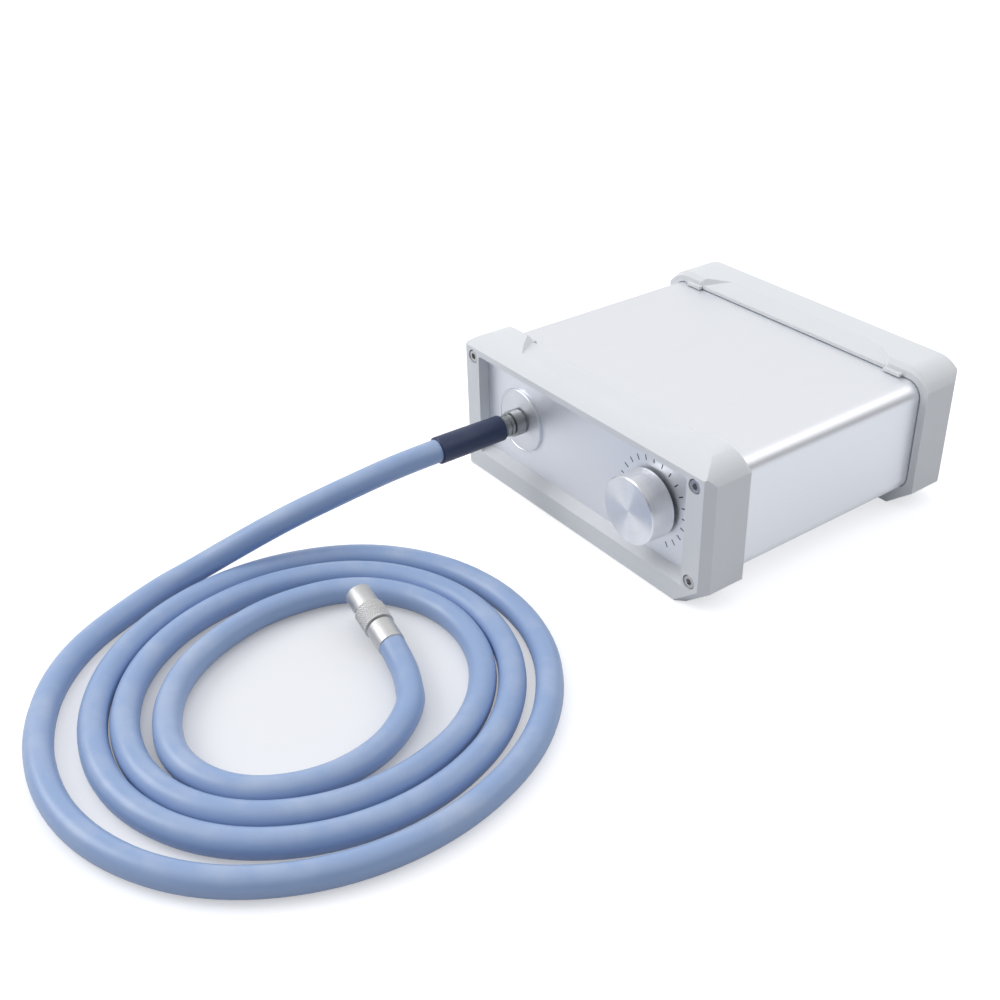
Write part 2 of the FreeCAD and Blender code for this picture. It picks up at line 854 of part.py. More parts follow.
def make_port_bush():
    """The flanged bush; its axis is the light's axis, and y counts from the panel's face."""
    body = new_body("port_bush")
    flange = size["port_flange_radius"]
    thick = size["port_flange_thick"]
    rim = size["port_rim"]
    thread = size["port_thread_radius"]
    length = size["port_length"]
    bore = size["plug_radius"] + size["fit_gap"]
    ring_start = size["grip_ring_place"] - size["fit_gap"]
    ring_end = size["grip_ring_place"] + size["grip_ring_width"] + size["fit_gap"]
    ring_radius = size["grip_ring_radius"] + size["fit_gap"]
    turn(body, [
        (-thick, bore),
        (ring_start, bore),
        (ring_start, ring_radius),
        (ring_end, ring_radius),
        (ring_end, bore),
        (length, bore),
        (length, thread),
        (0, thread),
        (0, flange),
        (-thick, flange),
        (-thick - rim / 3, flange - rim / 3),
        (-thick - rim / 3, flange - rim),
        (-thick, flange - rim * 1.3),
    ])
    return body


place(make_port_bush(), port_x, panel_face, control_height)


def make_grip_ring():
    """A split spring ring that sits in the bush's groove and holds the plug."""
    body = new_body("port_grip_ring")
    inner = size["plug_radius"] + size["fit_gap"]
    turn(body, [
        (0, inner),
        (size["grip_ring_width"], inner),
        (size["grip_ring_width"], size["grip_ring_radius"]),
        (0, size["grip_ring_radius"]),
    ], angle=340)
    return body


place(make_grip_ring(), port_x, panel_face + size["grip_ring_place"], control_height)


def make_nut(label, corner_radius, bore_radius, thick, x, y, z):
    """A six-sided nut on a front-to-back axis."""
    prism = doc.addObject("Part::Prism", label + "_blank")
    prism.Polygon = 6
    bind(prism, "Circumradius", corner_radius)
    bind(prism, "Height", thick)
    hole = doc.addObject("Part::Cylinder", label + "_bore")
    bind(hole, "Radius", bore_radius)
    bind(hole, "Height", thick)
    nut = doc.addObject("Part::Cut", label)
    nut.Base = prism
    nut.Tool = hole
    place(nut, x, y, z, Rotation(Vector(1, 0, 0), -90))
    return keep(nut, label)


make_nut("port_nut", size["port_nut_radius"], size["port_thread_radius"] + size["fit_gap"],
         size["port_nut_thick"], port_x, panel_back, control_height)


def make_lens_tube():
    """The barrel from the bush to the lamp board; y counts from its front end."""
    body = new_body("lens_tube")
    lap = size["tube_lap"]
    stop = lap + size["tube_stop"]
    length = lamp_face - (panel_face + size["port_length"] - lap)
    outer = size["tube_radius"]
    turn(body, [
        (0, size["port_thread_radius"] + size["fit_gap"]),
        (lap, size["port_thread_radius"] + size["fit_gap"]),
        (lap, size["aperture_radius"]),
        (stop, size["aperture_radius"]),
        (stop, size["lens_radius"] + size["fit_gap"]),
        (length, size["lens_radius"] + size["fit_gap"]),
        (length, outer),
        (0, outer),
    ])
    return body


tube_front = panel_face + size["port_length"] - size["tube_lap"]
place(make_lens_tube(), port_x, tube_front, control_height)
lens_front = tube_front + size["tube_lap"] + size["tube_stop"]


def make_lens():
    """A plano-convex lens, its flat side to the fibre and its bulge to the lamp."""
    body = new_body("condenser_lens")
    edge = size["lens_edge"]
    radius = size["lens_radius"]
    bulge = size["lens_bulge_radius"]
    height = bulge - root(bulge * bulge - radius * radius)
    turn(body, [
        (0, 0),
        (edge + height, 0, bulge),
        (edge, radius),
        (0, radius),
    ])
    return body


place(make_lens(), port_x, lens_front, control_height)


def make_lens_ring():
    """The threaded ring that holds the lens's edge."""
    body = new_body("lens_ring")
    turn(body, [
        (0, size["lens_ring_bore"]),
        (size["lens_ring_width"], size["lens_ring_bore"]),
        (size["lens_ring_width"], size["lens_radius"]),
        (0, size["lens_radius"]),
    ])
    return body


lens_sag = size["lens_bulge_radius"] - root(
    size["lens_bulge_radius"] * size["lens_bulge_radius"]
    - size["lens_radius"] * size["lens_radius"])
ring_reach = size["lens_bulge_radius"] * size["lens_bulge_radius"] - (
    size["lens_ring_bore"] * size["lens_ring_bore"])
ring_seat = lens_front + size["lens_edge"] + lens_sag - (
    size["lens_bulge_radius"] - root(ring_reach))
place(make_lens_ring(), port_x, ring_seat, control_height)

lamp_screw_spots = [(port_x + side * size["lamp_screw_spacing"] / 2, lamp_face, control_height)
                    for side in (-1, 1)]


def make_lamp_board():
    """The round aluminium board that carries the lamp."""
    body = new_body("led_board")
    grow(body, "XZ_Plane", 0, size["lamp_board_thick"],
         circles=[(0, 0, size["lamp_board_radius"])])
    carve(body, "XZ_Plane", -1, size["lamp_board_thick"] + 2,
          circles=[(side * size["lamp_screw_spacing"] / 2, 0, hole_radius) for side in (-1, 1)])
    return body


place(make_lamp_board(), port_x, lamp_face, control_height)


def make_lamp():
    """The lamp: a square package with a clear dome towards the lens."""
    body = new_body("led_emitter")
    half = size["lamp_width"] / 2
    grow(body, "XZ_Plane", -size["lamp_thick"], size["lamp_thick"], [block(half, -half, half)])
    dome = size["lamp_dome_radius"]
    turn(body, [
        (-size["lamp_thick"] - dome, 0),
        (-size["lamp_thick"], 0),
        (-size["lamp_thick"], dome, dome),
    ])
    return body


place(make_lamp(), port_x, lamp_face, control_height)
lamp_screw = socket_screw(size["lamp_screw_length"], size["screw_radius"] * 1.3,
                          size["screw_head_height"] / 1.5)
set_of("led_screws", lamp_screw, lamp_screw_spots)


def make_heat_sink():
    """A base plate behind the lamp with upright fins that run to the fan."""
    body = new_body("heat_sink")
    half = size["sink_width"] / 2
    height = body_high - size["body_wall"] - size["sink_top_gap"] - floor_inside
    grow(body, "XZ_Plane", 0, size["sink_base"], [block(half, 0, height)])
    fin = grow(body, "XZ_Plane", size["sink_base"], size["sink_depth"] - size["sink_base"],
               [block(size["fin_thick"] / 2, 0, height, size["fin_thick"] / 2 - half)])
    repeat_line(body, fin, "X_Axis", size["sink_width"] - size["fin_thick"], size["fin_count"])
    lamp_up = control_height - floor_inside
    carve(body, "XZ_Plane", 0, size["lamp_screw_length"], circles=[
        (side * size["lamp_screw_spacing"] / 2, lamp_up, tapped_radius) for side in (-1, 1)])
    carve(body, "XY_Plane", 0, size["sink_screw_length"], circles=[
        (side * size["sink_screw_spacing"] / 2, size["sink_base"] / 2, tapped_radius)
        for side in (-1, 1)])
    return body


place(make_heat_sink(), port_x, sink_face, floor_inside)
flat_screw = socket_screw(size["sink_screw_length"], size["screw_head_radius"],
                          size["body_wall"] / 2)
set_of("heat_sink_screws", flat_screw, [
    (port_x + side * size["sink_screw_spacing"] / 2, sink_face + size["sink_base"] / 2,
     body_low + size["body_wall"] / 2) for side in (-1, 1)], Rotation(Vector(1, 0, 0), 90))

fan_face = rear_panel_back - size["fan_thick"]


def make_fan_frame():
    """The square fan housing: a round duct, four screw holes and a spider with the bearing."""
    body = new_body("fan_frame")
    half = size["fan_width"] / 2
    thick = size["fan_thick"]
    plate = size["fan_plate"]
    grow(body, "XZ_Plane", 0, thick, [rounded(half, -half, half, size["fan_corner"])],
         [(0, 0, size["fan_bore_radius"])])
    grow(body, "XZ_Plane", thick - plate, plate, circles=[(0, 0, size["fan_hub_radius"])])
    strut = grow(body, "XZ_Plane", thick - plate, plate, [[
        (0, -size["fan_strut_width"] / 2),
        (size["fan_bore_radius"] + 0.5, -size["fan_strut_width"] / 2),
        (size["fan_bore_radius"] + 0.5, size["fan_strut_width"] / 2),
        (0, size["fan_strut_width"] / 2),
    ]])
    repeat_round(body, strut, "Y_Axis", 3)
    carve(body, "XZ_Plane", thick - plate - 1, plate + 2,
          circles=[(0, 0, size["fan_shaft_radius"] + size["fit_gap"])])
    pitch = size["fan_pitch"] / 2
    carve(body, "XZ_Plane", -1, thick + 2,
          circles=[(a * pitch, b * pitch, tapped_radius) for a in (-1, 1) for b in (-1, 1)])
    return body


place(make_fan_frame(), port_x, fan_face, body_middle)


def make_fan_rotor():
    """The hub, its shaft and the slanting blades."""
    body = new_body("fan_rotor")
    gap = size["fan_gap"]
    back = size["fan_thick"] - size["fan_plate"] - gap
    hub = size["fan_hub_radius"]
    grow(body, "XZ_Plane", gap, back - gap, circles=[(0, 0, hub)])
    grow(body, "XZ_Plane", back, gap + size["fan_plate"],
         circles=[(0, 0, size["fan_shaft_radius"])])
    tip = size["fan_bore_radius"] - gap
    width = back - gap * 2
    half = size["blade_thick"] / 2
    sketch = new_sketch(body, "YZ_Plane", hub - 1)
    draw_loop(sketch, [
        (gap, -width / 2 - half),
        (gap + width, width / 2 - half),
        (gap + width, width / 2 + half),
        (gap, -width / 2 + half),
    ])
    blade = body.newObject("PartDesign::Pad", "Blade")
    blade.Profile = sketch
    bind(blade, "Length", tip - hub)
    repeat_round(body, blade, "Y_Axis", size["blade_count"])
    return body


place(make_fan_rotor(), port_x, fan_face, body_middle)
fan_screw = socket_screw(size["fan_screw_length"] - size["panel_thick"] / 2,
                         size["screw_head_radius"], size["screw_head_height"] / 1.5)
set_of("fan_screws", fan_screw, [
    (port_x + a * size["fan_pitch"] / 2, rear_panel_face, body_middle + b * size["fan_pitch"] / 2)
    for a in (-1, 1) for b in (-1, 1)], half_turn)


# ---------------------------------------------------------------- brightness control

knob_face = -size["knob_proud"]
knob_back = knob_face + size["knob_length"]
knob_floor = knob_back - size["knob_hollow_depth"]


def make_knob():
    """The turned knob; y counts from its face, with a hollow behind that clears the nut."""
    body = new_body("intensity_knob")
    radius = size["knob_radius"]
    length = size["knob_length"]
    edge = size["knob_edge"]
    floor = length - size["knob_hollow_depth"]
    bore = size["shaft_radius"] + size["fit_gap"] / 2
    turn(body, [
        (0, 0),
        (floor - size["knob_bore_depth"], 0),
        (floor - size["knob_bore_depth"], bore),
        (floor, bore),
        (floor, size["knob_hollow_radius"]),
        (length, size["knob_hollow_radius"]),
        (length, radius - edge / 2),
        (length - edge / 2, radius),
        (length - edge * 2, radius),
        (edge, radius - size["knob_taper"]),
        (0, radius - size["knob_taper"] - edge),
    ])
    carve(body, "XY_Plane", -radius - 1, radius + 1 - size["shaft_radius"] / 2, circles=[
        (0, floor - size["knob_bore_depth"] / 2, tapped_radius)])
    return body


place(make_knob(), knob_x, knob_face, control_height)
screw_y = knob_floor - size["knob_bore_depth"] / 2


def make_set_screw():
    """The headless screw that clamps the knob to its shaft from below."""
    body = new_body("knob_set_screw")
    low = -size["shaft_radius"] - size["fit_gap"] - size["set_screw_length"]
    grow(body, "XY_Plane", low, size["set_screw_length"],
         circles=[(0, 0, size["screw_radius"])])
    corners = []
    for step in range(6):
        angle = math.radians(60 * step)
        corners.append((size["socket_radius"] / 1.8 * math.cos(angle),
                        size["socket_radius"] / 1.8 * math.sin(angle)))
    carve(body, "XY_Plane", low, size["socket_depth"], [corners])
    return body


place(make_set_screw(), knob_x, screw_y, control_height)


def make_pot_shaft():
    """The control's shaft, from inside the knob into the control's body."""
    body = new_body("pot_shaft")
    start = knob_floor - size["knob_bore_depth"] + size["fit_gap"]
    end = panel_back + size["pot_length"] / 3
    grow(body, "XZ_Plane", start, end - start, circles=[(0, 0, size["shaft_radius"])])
    return body


place(make_pot_shaft(), knob_x, 0, control_height)


def make_pot_body():
    """The control: a threaded bush through the panel, a round case and three terminals."""
    body = new_body("pot_body")
    bush = size["pot_bush_radius"]
    front = panel_face - size["pot_bush_length"]
    bore = size["shaft_radius"] + size["fit_gap"]
    back = panel_back + size["pot_length"]
    inside = panel_back + size["pot_length"] / 3 + size["shaft_end_gap"]
    turn(body, [
        (front, bore),
        (inside, bore),
        (inside, 0),
        (back, 0),
        (back, size["pot_radius"]),
        (panel_back, size["pot_radius"]),
        (panel_back, bush),
        (front, bush),
    ])
    pitch = size["terminal_pitch"]
    low = -size["pot_radius"] - pitch
    pins = [block(as_size(0.5), low, -size["pot_radius"] / 2, pitch * step) for step in (-1, 0, 1)]
    grow(body, "XZ_Plane", panel_back + size["pot_length"] / 2, size["terminal_pitch"] / 8, pins)
    return body


place(make_pot_body(), knob_x, 0, control_height)
make_nut("pot_nut", size["pot_nut_radius"], size["pot_bush_radius"] + size["fit_gap"],
         size["pot_nut_thick"], knob_x,
         panel_face - size["washer_thick"] - size["pot_nut_thick"], control_height)


def make_washer():
    body = new_body("pot_washer")
    turn(body, [
        (0, size["pot_bush_radius"] + size["fit_gap"]),
        (size["washer_thick"], size["pot_bush_radius"] + size["fit_gap"]),
        (size["washer_thick"], size["washer_radius"]),
        (0, size["washer_radius"]),
    ])
    return body


place(make_washer(), knob_x, panel_face - size["washer_thick"], control_height)


# ---------------------------------------------------------------- driver board

board_x = body_half - size["body_wall"] - size["board_right_gap"] - size["board_width"] / 2
board_low = floor_inside + size["standoff_height"]
board_top = board_low + size["board_thick"]
board_holes = [(a * (size["board_width"] / 2 - size["board_hole_inset"]), y)
               for a in (-1, 1)
               for y in (size["board_hole_inset"], size["board_length"] - size["board_hole_inset"])]


def make_board():
    """The driver board, drawn with its front edge at y = 0."""
    body = new_body("driver_board")
    grow(body, "XY_Plane", 0, size["board_thick"], [
        rounded(size["board_width"] / 2, as_size(0), size["board_length"], size["board_corner"])])
    carve(body, "XY_Plane", -1, size["board_thick"] + 2,
          circles=[(x, y, hole_radius) for x, y in board_holes])
    return body


place(make_board(), board_x, size["board_front"], board_low)

standoff = Part.makeCylinder(size["standoff_radius"].number, size["standoff_height"].number)
standoff = standoff.cut(Part.makeCylinder(tapped_radius.number, size["standoff_height"].number))
set_of("board_standoffs", standoff, [
    (board_x + x, size["board_front"] + y, floor_inside) for x, y in board_holes])
board_screw = socket_screw(size["board_thick"] + size["standoff_height"] - 1,
                           size["screw_head_radius"], size["screw_head_height"] / 1.5)
set_of("board_screws", board_screw, [
    (board_x + x, size["board_front"] + y, board_top) for x, y in board_holes],
    Rotation(Vector(1, 0, 0), -90))


def make_inductor():
    """A drum core with its winding between two rims."""
    body = new_body("driver_inductor")
    radius = size["coil_core_radius"]
    height = size["coil_core_height"]
    rim = height / 6
    turn(body, [
        (0, 0),
        (radius, 0),
        (radius, rim),
        (radius * 0.85, rim * 1.5),
        (radius * 0.85, height - rim * 1.5),
        (radius, height - rim),
        (radius, height),
        (0, height),
    ], plane="XZ_Plane", axis="V_Axis")
    return body


place(make_inductor(), board_x - size["board_width"] / 5,
      size["board_front"] + size["board_length"] / 3, board_top)

can = Part.makeCylinder(size["capacitor_radius"].number, size["capacitor_height"].number)
can_rims = [edge for edge in can.Edges if edge.Closed]
can = can.makeFillet(0.6, can_rims)
set_of("driver_capacitors", can, [
    (board_x + size["board_width"] / 4, size["board_front"] + size["board_length"] * share,
     board_top) for share in (0.3, 0.46, 0.62)])

chip = Part.makeBox(size["chip_length"].number, size["chip_width"].number,
                    size["chip_height"].number)
set_of("driver_chips", chip, [
    (board_x - size["board_width"] * across, size["board_front"] + size["board_length"] * along,
     board_top) for across, along in ((0.38, 0.55), (0.2, 0.55), (0.3, 0.7), (-0.05, 0.8))])


def make_terminals():
    """The two wire terminals at the board's ends, with a screw well and a wire mouth per pole."""
    length = size["terminal_length"].number
    depth = size["terminal_depth"].number
    height = size["terminal_height"].number
    shape = Part.makeBox(length, depth, height, Vector(-length / 2, 0, 0))
    for pole in (-1, 0, 1):
        middle = pole * length / 3
        well = Part.makeCylinder(length / 9, height / 3, Vector(middle, depth / 2, height * 2 / 3))
        mouth = Part.makeBox(length / 5, depth / 3, height / 3,
                             Vector(middle - length / 10, 0, height / 6))
        shape = shape.cut(well).cut(mouth)
    return shape


terminal_y = size["board_hole_inset"] / 2
set_of("driver_terminals", make_terminals(), [
    (board_x, size["board_front"] + terminal_y, board_top),
    (board_x, size["board_front"] + size["board_length"] - terminal_y - size["terminal_depth"],
     board_top)])


# ---------------------------------------------------------------- power inlet and switch

def make_jack():
    """The power jack: a flange behind the window, a threaded barrel, a bore and its centre pin."""
    body = new_body("dc_jack")
    flange = size["jack_flange_thick"]
    bore_end = flange - size["jack_bore_depth"]
    pin = size["jack_pin_radius"]
    turn(body, [
        (-size["jack_length"], 0),
        (flange - 1, 0),
        (flange - 1, pin),
        (bore_end, pin),
        (bore_end, size["jack_bore_radius"]),
        (flange, size["jack_bore_radius"]),
        (flange, size["jack_flange_radius"] - flange / 3),
        (flange * 2 / 3, size["jack_flange_radius"]),
        (0, size["jack_flange_radius"]),
        (0, size["jack_thread_radius"]),
        (-size["jack_length"], size["jack_thread_radius"]),
    ])
    return body


place(make_jack(), jack_x, rear_panel_face, body_middle)
make_nut("dc_jack_nut", size["jack_nut_radius"], size["jack_thread_radius"] + size["fit_gap"],
         size["jack_nut_thick"], jack_x, rear_panel_back - size["jack_nut_thick"],
         body_middle)

cavity_half = size["rocker_width"] / 2 + size["rocker_gap"]
cavity_tall = size["rocker_tall"] / 2 + size["rocker_gap"] * 2
pivot_y = size["switch_flange_thick"] - size["rocker_pivot_depth"]


def make_switch():
    """The switch's case: flange, body through the panel, the rocker's well and its two bearings."""
    body = new_body("switch_housing")
    half = size["switch_body_width"] / 2
    tall = size["switch_body_tall"] / 2
    depth = size["switch_body_depth"]
    grow(body, "XZ_Plane", -depth, depth, [block(half, -tall, tall)])
    grow(body, "XZ_Plane", 0, size["switch_flange_thick"], [rounded(
        size["switch_flange_width"] / 2, -size["switch_flange_tall"] / 2,
        size["switch_flange_tall"] / 2, size["switch_flange_thick"])])
    carve(body, "XZ_Plane", size["switch_flange_thick"] - size["cavity_depth"],
          size["cavity_depth"] + 1, [block(cavity_half, -cavity_tall, cavity_tall)])
    bearing = size["rocker_width"] / 2 + size["rocker_pin_length"] + size["rocker_gap"] / 2
    carve(body, "YZ_Plane", -bearing, bearing * 2,
          circles=[(pivot_y, 0, size["rocker_pin_radius"] + size["fit_gap"])])
    return body


place(make_switch(), switch_x, rear_panel_face, body_middle)


def make_rocker():
    """The rocker, drawn level about its pivot; two stub pins carry it in the case's bearings."""
    body = new_body("switch_rocker")
    half = size["rocker_width"] / 2
    tall = size["rocker_tall"] / 2
    rise = size["rocker_rise"]
    dip = size["rocker_dip"]
    grow(body, "YZ_Plane", -half, size["rocker_width"], [[
        (-dip * 2, -tall / 4),
        (-dip, -tall),
        (rise - 0.5, -tall),
        (rise, -tall + 0.5),
        (rise - dip, 0),
        (rise, tall - 0.5),
        (rise - 0.5, tall),
        (-dip, tall),
        (-dip * 2, tall / 4),
    ]])
    reach = half + size["rocker_pin_length"]
    grow(body, "YZ_Plane", -reach, reach * 2, circles=[(0, 0, size["rocker_pin_radius"])])
    return body


place(make_rocker(), switch_x, rear_panel_face + pivot_y, body_middle,
      Rotation(Vector(1, 0, 0), -size["rocker_tilt"].number))


# ---------------------------------------------------------------- light guide

plug_stop = panel_face - size["port_flange_thick"] - size["port_rim"] / 3 - size["plug_gap"]
boot_front = plug_stop - size["collar_length"] - size["plug_neck_length"]
boot_end = boot_front - size["boot_length"]


def make_plug():
    """The turned plug: the part in the bore, the collar, two rings and the neck in the boot.

    y counts from the collar's rear face, which faces the port.
    """
    body = new_body("plug_ferrule")
    inside = size["plug_depth"]
    collar = size["collar_length"]
    neck = size["plug_neck_length"]
    ring = size["plug_ring_radius"]
    groove = size["plug_neck_radius"]
    pocket = size["fibre_thick"]
    turn(body, [
        (-collar - neck, 0),
        (inside - pocket, 0),
        (inside - pocket, size["fibre_radius"]),
        (inside, size["fibre_radius"]),
        (inside, size["plug_radius"] - 0.5),
        (inside - 0.5, size["plug_radius"]),
        (0, size["plug_radius"]),
        (-0.2, size["collar_radius"]),
        (-collar + 0.2, size["collar_radius"]),
        (-collar, groove),
        (-collar - neck * 0.12, groove),
        (-collar - neck * 0.12, ring),
        (-collar - neck * 0.34, ring),
        (-collar - neck * 0.34, groove),
        (-collar - neck * 0.5, groove),
        (-collar - neck * 0.5, ring * 0.96),
        (-collar - neck * 0.8, ring * 0.96),
        (-collar - neck * 0.8, groove),
        (-collar - neck, groove),
    ])
    return body


place(make_plug(), port_x, plug_stop, control_height)


def make_disc(label):
    """The polished end of the fibre bundle."""
    body = new_body(label)
    grow(body, "XZ_Plane", 0, size["fibre_thick"], circles=[(0, 0, size["fibre_radius"])])
    return body


place(make_disc("fibre_input_face"), port_x,
      plug_stop + size["plug_depth"] - size["fibre_thick"], control_height)


def make_boot():
    """The stepped bend relief behind the plug; y counts back from the plug's end."""
    body = new_body("plug_boot")
    length = size["boot_length"]
    front = size["boot_radius"]
    rear = size["boot_end_radius"]
    step = (rear - front) / 3
    turn(body, [
        (-length, 0),
        (-length, rear - 0.4),
        (-length + 0.4, rear),
        (-length * 0.53, rear - step / 2),
        (-length * 0.53, rear - step),
        (-length * 0.21, front + step),
        (-length * 0.21, front + step / 2),
        (-0.4, front),
        (0, front - 0.4),
        (0, 0),
    ])
    return body


place(make_boot(), port_x, boot_front, control_height)


def cable_run(label, points, radius):
    """A tube of straight runs joined by tangent arcs, each as large as its two runs allow."""
    corners = [Vector(*point) for point in points]
    edges = []
    start = corners[0]
    for before, corner, after in zip(corners, corners[1:], corners[2:]):
        inward = corner - before
        outward = after - corner
        bend = inward.getAngle(outward)
        reach = 0.45 * min(inward.Length, outward.Length)
        arc_radius = reach / math.tan(bend / 2)
        print(f"{label}: bend {math.degrees(bend):.1f} degrees, radius {arc_radius:.1f} mm")
        first = corner - inward * (reach / inward.Length)
        last = corner + outward * (reach / outward.Length)
        centre_way = (before - corner).normalize() + (after - corner).normalize()
        centre = corner + centre_way.normalize() * (arc_radius / math.cos(bend / 2))
        middle = centre + (corner - centre).normalize() * arc_radius
        edges.append(Part.LineSegment(start, first).toShape())
        edges.append(Part.Arc(first, middle, last).toShape())
        start = last
    edges.append(Part.LineSegment(start, corners[-1]).toShape())
    length = sum(edge.Length for edge in edges)
    path = Part.Wire(edges)
    way = corners[1] - corners[0]
    circle = Part.Wire(Part.Circle(corners[0], way, radius).toShape())
    tube = path.makePipeShell([circle], True, False)
    expected = math.pi * radius ** 2 * length
    print(f"{label}: length {length:.1f} mm, volume {tube.Volume:.0f} of {expected:.0f} mm3")
    if abs(tube.Volume / expected - 1) > 0.02:
        raise RuntimeError(f"{label}: the tube's volume is wrong")
    feature = doc.addObject("Part::Feature", label)
    feature.Shape = tube
    feature.Placement = Placement(Vector(0, -depth_middle.number, 0), Rotation())
    return keep(feature, label)


cable_radius = size["cable_radius"]
boot_exit = (port_x.number, boot_end.number, control_height.number)
cable_run("guide_lead", [boot_exit] + LEAD_POINTS, cable_radius.number)
cable_run("guide_tail", TAIL_POINTS, cable_radius.number)


def make_coil():
    """The coil's outer shape: whole turns, the first turn round them and the last turn inside."""
    body = new_body("guide_coil")
    bend = cable_radius
    top = cable_radius * 2
    ring = size["coil_ring_radius"] - bend
    inner = size["coil_inner_radius"] + bend
    turn(body, [
        (inner, GROUND),
        (ring, GROUND, bend),
        (ring + bend, bend, bend),
        (ring, top),
        (inner, top, bend),
        (inner - bend, bend, bend),
    ], plane="XZ_Plane", axis="V_Axis")
    outer = size["coil_outer_radius"] - bend
    turn(body, [
        (-ring + 1, GROUND),
        (-ring + 1, top),
        (-outer, top, bend),
        (-outer - bend, bend, bend),
        (-outer, GROUND),
    ], plane="XZ_Plane", axis="V_Axis", angle=size["coil_first_angle"])
    core = size["coil_core"] + bend
    turn(body, [
        (-core, top),
        (-inner - 1, top),
        (-inner - 1, GROUND),
        (-core, GROUND, bend),
        (-core + bend, bend, bend),
    ], plane="XZ_Plane", axis="V_Axis", angle=size["coil_last_angle"])
    return body


coil_turn = Rotation(Vector(0, 0, 1), size["coil_start_angle"].number)
place(make_coil(), COIL_CENTRE[0], COIL_CENTRE[1], 0, coil_turn)

tip_root = Vector(*TAIL_POINTS[-1])
tip_turn = Rotation(Vector(0, 1, 0), Vector(*TIP_DIRECTION))


def place_on_tip(thing, along):
    """Put a piece of the end fitting along the fitting's own leaning axis."""
    spot = tip_root + tip_turn.multVec(Vector(0, as_size(along).number, 0))
    thing.Placement = Placement(spot - Vector(0, depth_middle.number, 0), tip_turn)


def make_tip_sleeve():
    """The sleeve crimped on the cable, with a spigot that carries the nose."""
    body = new_body("tip_sleeve")
    length = size["tip_sleeve_length"]
    radius = size["tip_sleeve_radius"]
    groove = size["tip_groove"]
    turn(body, [
        (0, 0),
        (0, radius - 0.2),
        (0.2, radius),
        (length - 0.2, radius),
        (length, radius - 0.2),
        (length, radius - groove * 2),
        (length + groove, radius - groove * 2),
        (length + groove, 0),
    ])
    return body


def make_tip_nose():
    """The nose: a knurled band and the smooth barrel that holds the fibre's end."""
    body = new_body("tip_nose")
    knurl = size["tip_knurl_length"]
    knurl_radius = size["tip_knurl_radius"]
    length = knurl + size["tip_nose_length"]
    radius = size["tip_nose_radius"]
    pocket = size["fibre_thick"]
    turn(body, [
        (0, 0),
        (length - pocket, 0),
        (length - pocket, size["fibre_radius"]),
        (length, size["fibre_radius"]),
        (length, radius - 0.4),
        (length - 0.4, radius),
        (knurl, radius),
        (knurl, knurl_radius - 0.3),
        (knurl - 0.3, knurl_radius),
        (0.3, knurl_radius),
        (0, knurl_radius - 0.3),
    ])
    return body


place_on_tip(make_tip_sleeve(), 0)
nose_start = size["tip_sleeve_length"] + size["tip_groove"]
nose_end = nose_start + size["tip_knurl_length"] + size["tip_nose_length"]
place_on_tip(make_tip_nose(), nose_start)
place_on_tip(make_disc("fibre_output_face"), nose_end - size["fibre_thick"])


# ---------------------------------------------------------------- checks and export

doc.recompute()
os.makedirs("parts", exist_ok=True)
problems = []
for thing in doc.Objects:
    if "Invalid" in thing.State or "Error" in thing.State:
        problems.append(f"{thing.Label}: {thing.State}")
    if thing.TypeId in ("PartDesign::Pocket", "PartDesign::Groove"):
        before = thing.BaseFeature.Shape.Volume
        if thing.Shape.Volume > before - 0.01:
            problems.append(f"{thing.Label}: cut nothing")
for thing in sub_parts:
    if thing.Shape.isNull() or not thing.Shape.isValid() or not thing.Shape.Solids:
        problems.append(f"{thing.Label}: bad shape")
if problems:
    raise RuntimeError("\n".join(problems))
for thing in sub_parts:
    thing.Shape.exportStep(f"parts/{thing.Label}.step")
    print(f"{thing.Label}: {len(thing.Shape.Solids)} solids, {thing.Shape.Volume / 1000:.2f} cm3")
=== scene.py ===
"""Looks of the fiber optic illuminator: a lamp case with a light port, and its coiled light guide."""

import json
import math

import bmesh
import bpy
from mathutils import Euler, Matrix, Vector


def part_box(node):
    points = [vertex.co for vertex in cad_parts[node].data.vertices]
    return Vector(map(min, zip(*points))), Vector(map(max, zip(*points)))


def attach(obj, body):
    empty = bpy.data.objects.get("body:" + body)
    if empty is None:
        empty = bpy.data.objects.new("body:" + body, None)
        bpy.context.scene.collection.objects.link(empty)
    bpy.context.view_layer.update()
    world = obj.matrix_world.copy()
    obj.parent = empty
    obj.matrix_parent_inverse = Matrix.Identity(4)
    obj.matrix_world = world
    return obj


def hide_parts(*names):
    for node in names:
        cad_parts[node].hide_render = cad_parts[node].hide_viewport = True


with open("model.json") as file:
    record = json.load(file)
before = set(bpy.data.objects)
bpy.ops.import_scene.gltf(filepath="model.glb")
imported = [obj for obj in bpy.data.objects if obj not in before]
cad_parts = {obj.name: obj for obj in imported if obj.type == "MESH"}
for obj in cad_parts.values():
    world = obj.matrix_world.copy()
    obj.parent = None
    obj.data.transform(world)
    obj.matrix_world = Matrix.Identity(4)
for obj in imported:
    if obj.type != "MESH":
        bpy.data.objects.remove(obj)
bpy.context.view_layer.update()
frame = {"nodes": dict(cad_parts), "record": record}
nodes = frame["nodes"]
record = frame["record"]
slot_of = {part["node"]: part["material_slot"] for part in record["subparts"]}
body_of = {name: body for body, names in record["behaviour"]["bodies"].items() for name in names}


# ---------------------------------------------------------------- places on the part

MM = 0.001
FRONT_FACE = -68.75 * MM       # y of the front bezel's face in the part's frame


def from_front(x, y, z):
    """A place in metres, from millimetres with y counted from the front bezel's face."""
    return (x * MM, y * MM + FRONT_FACE, z * MM)


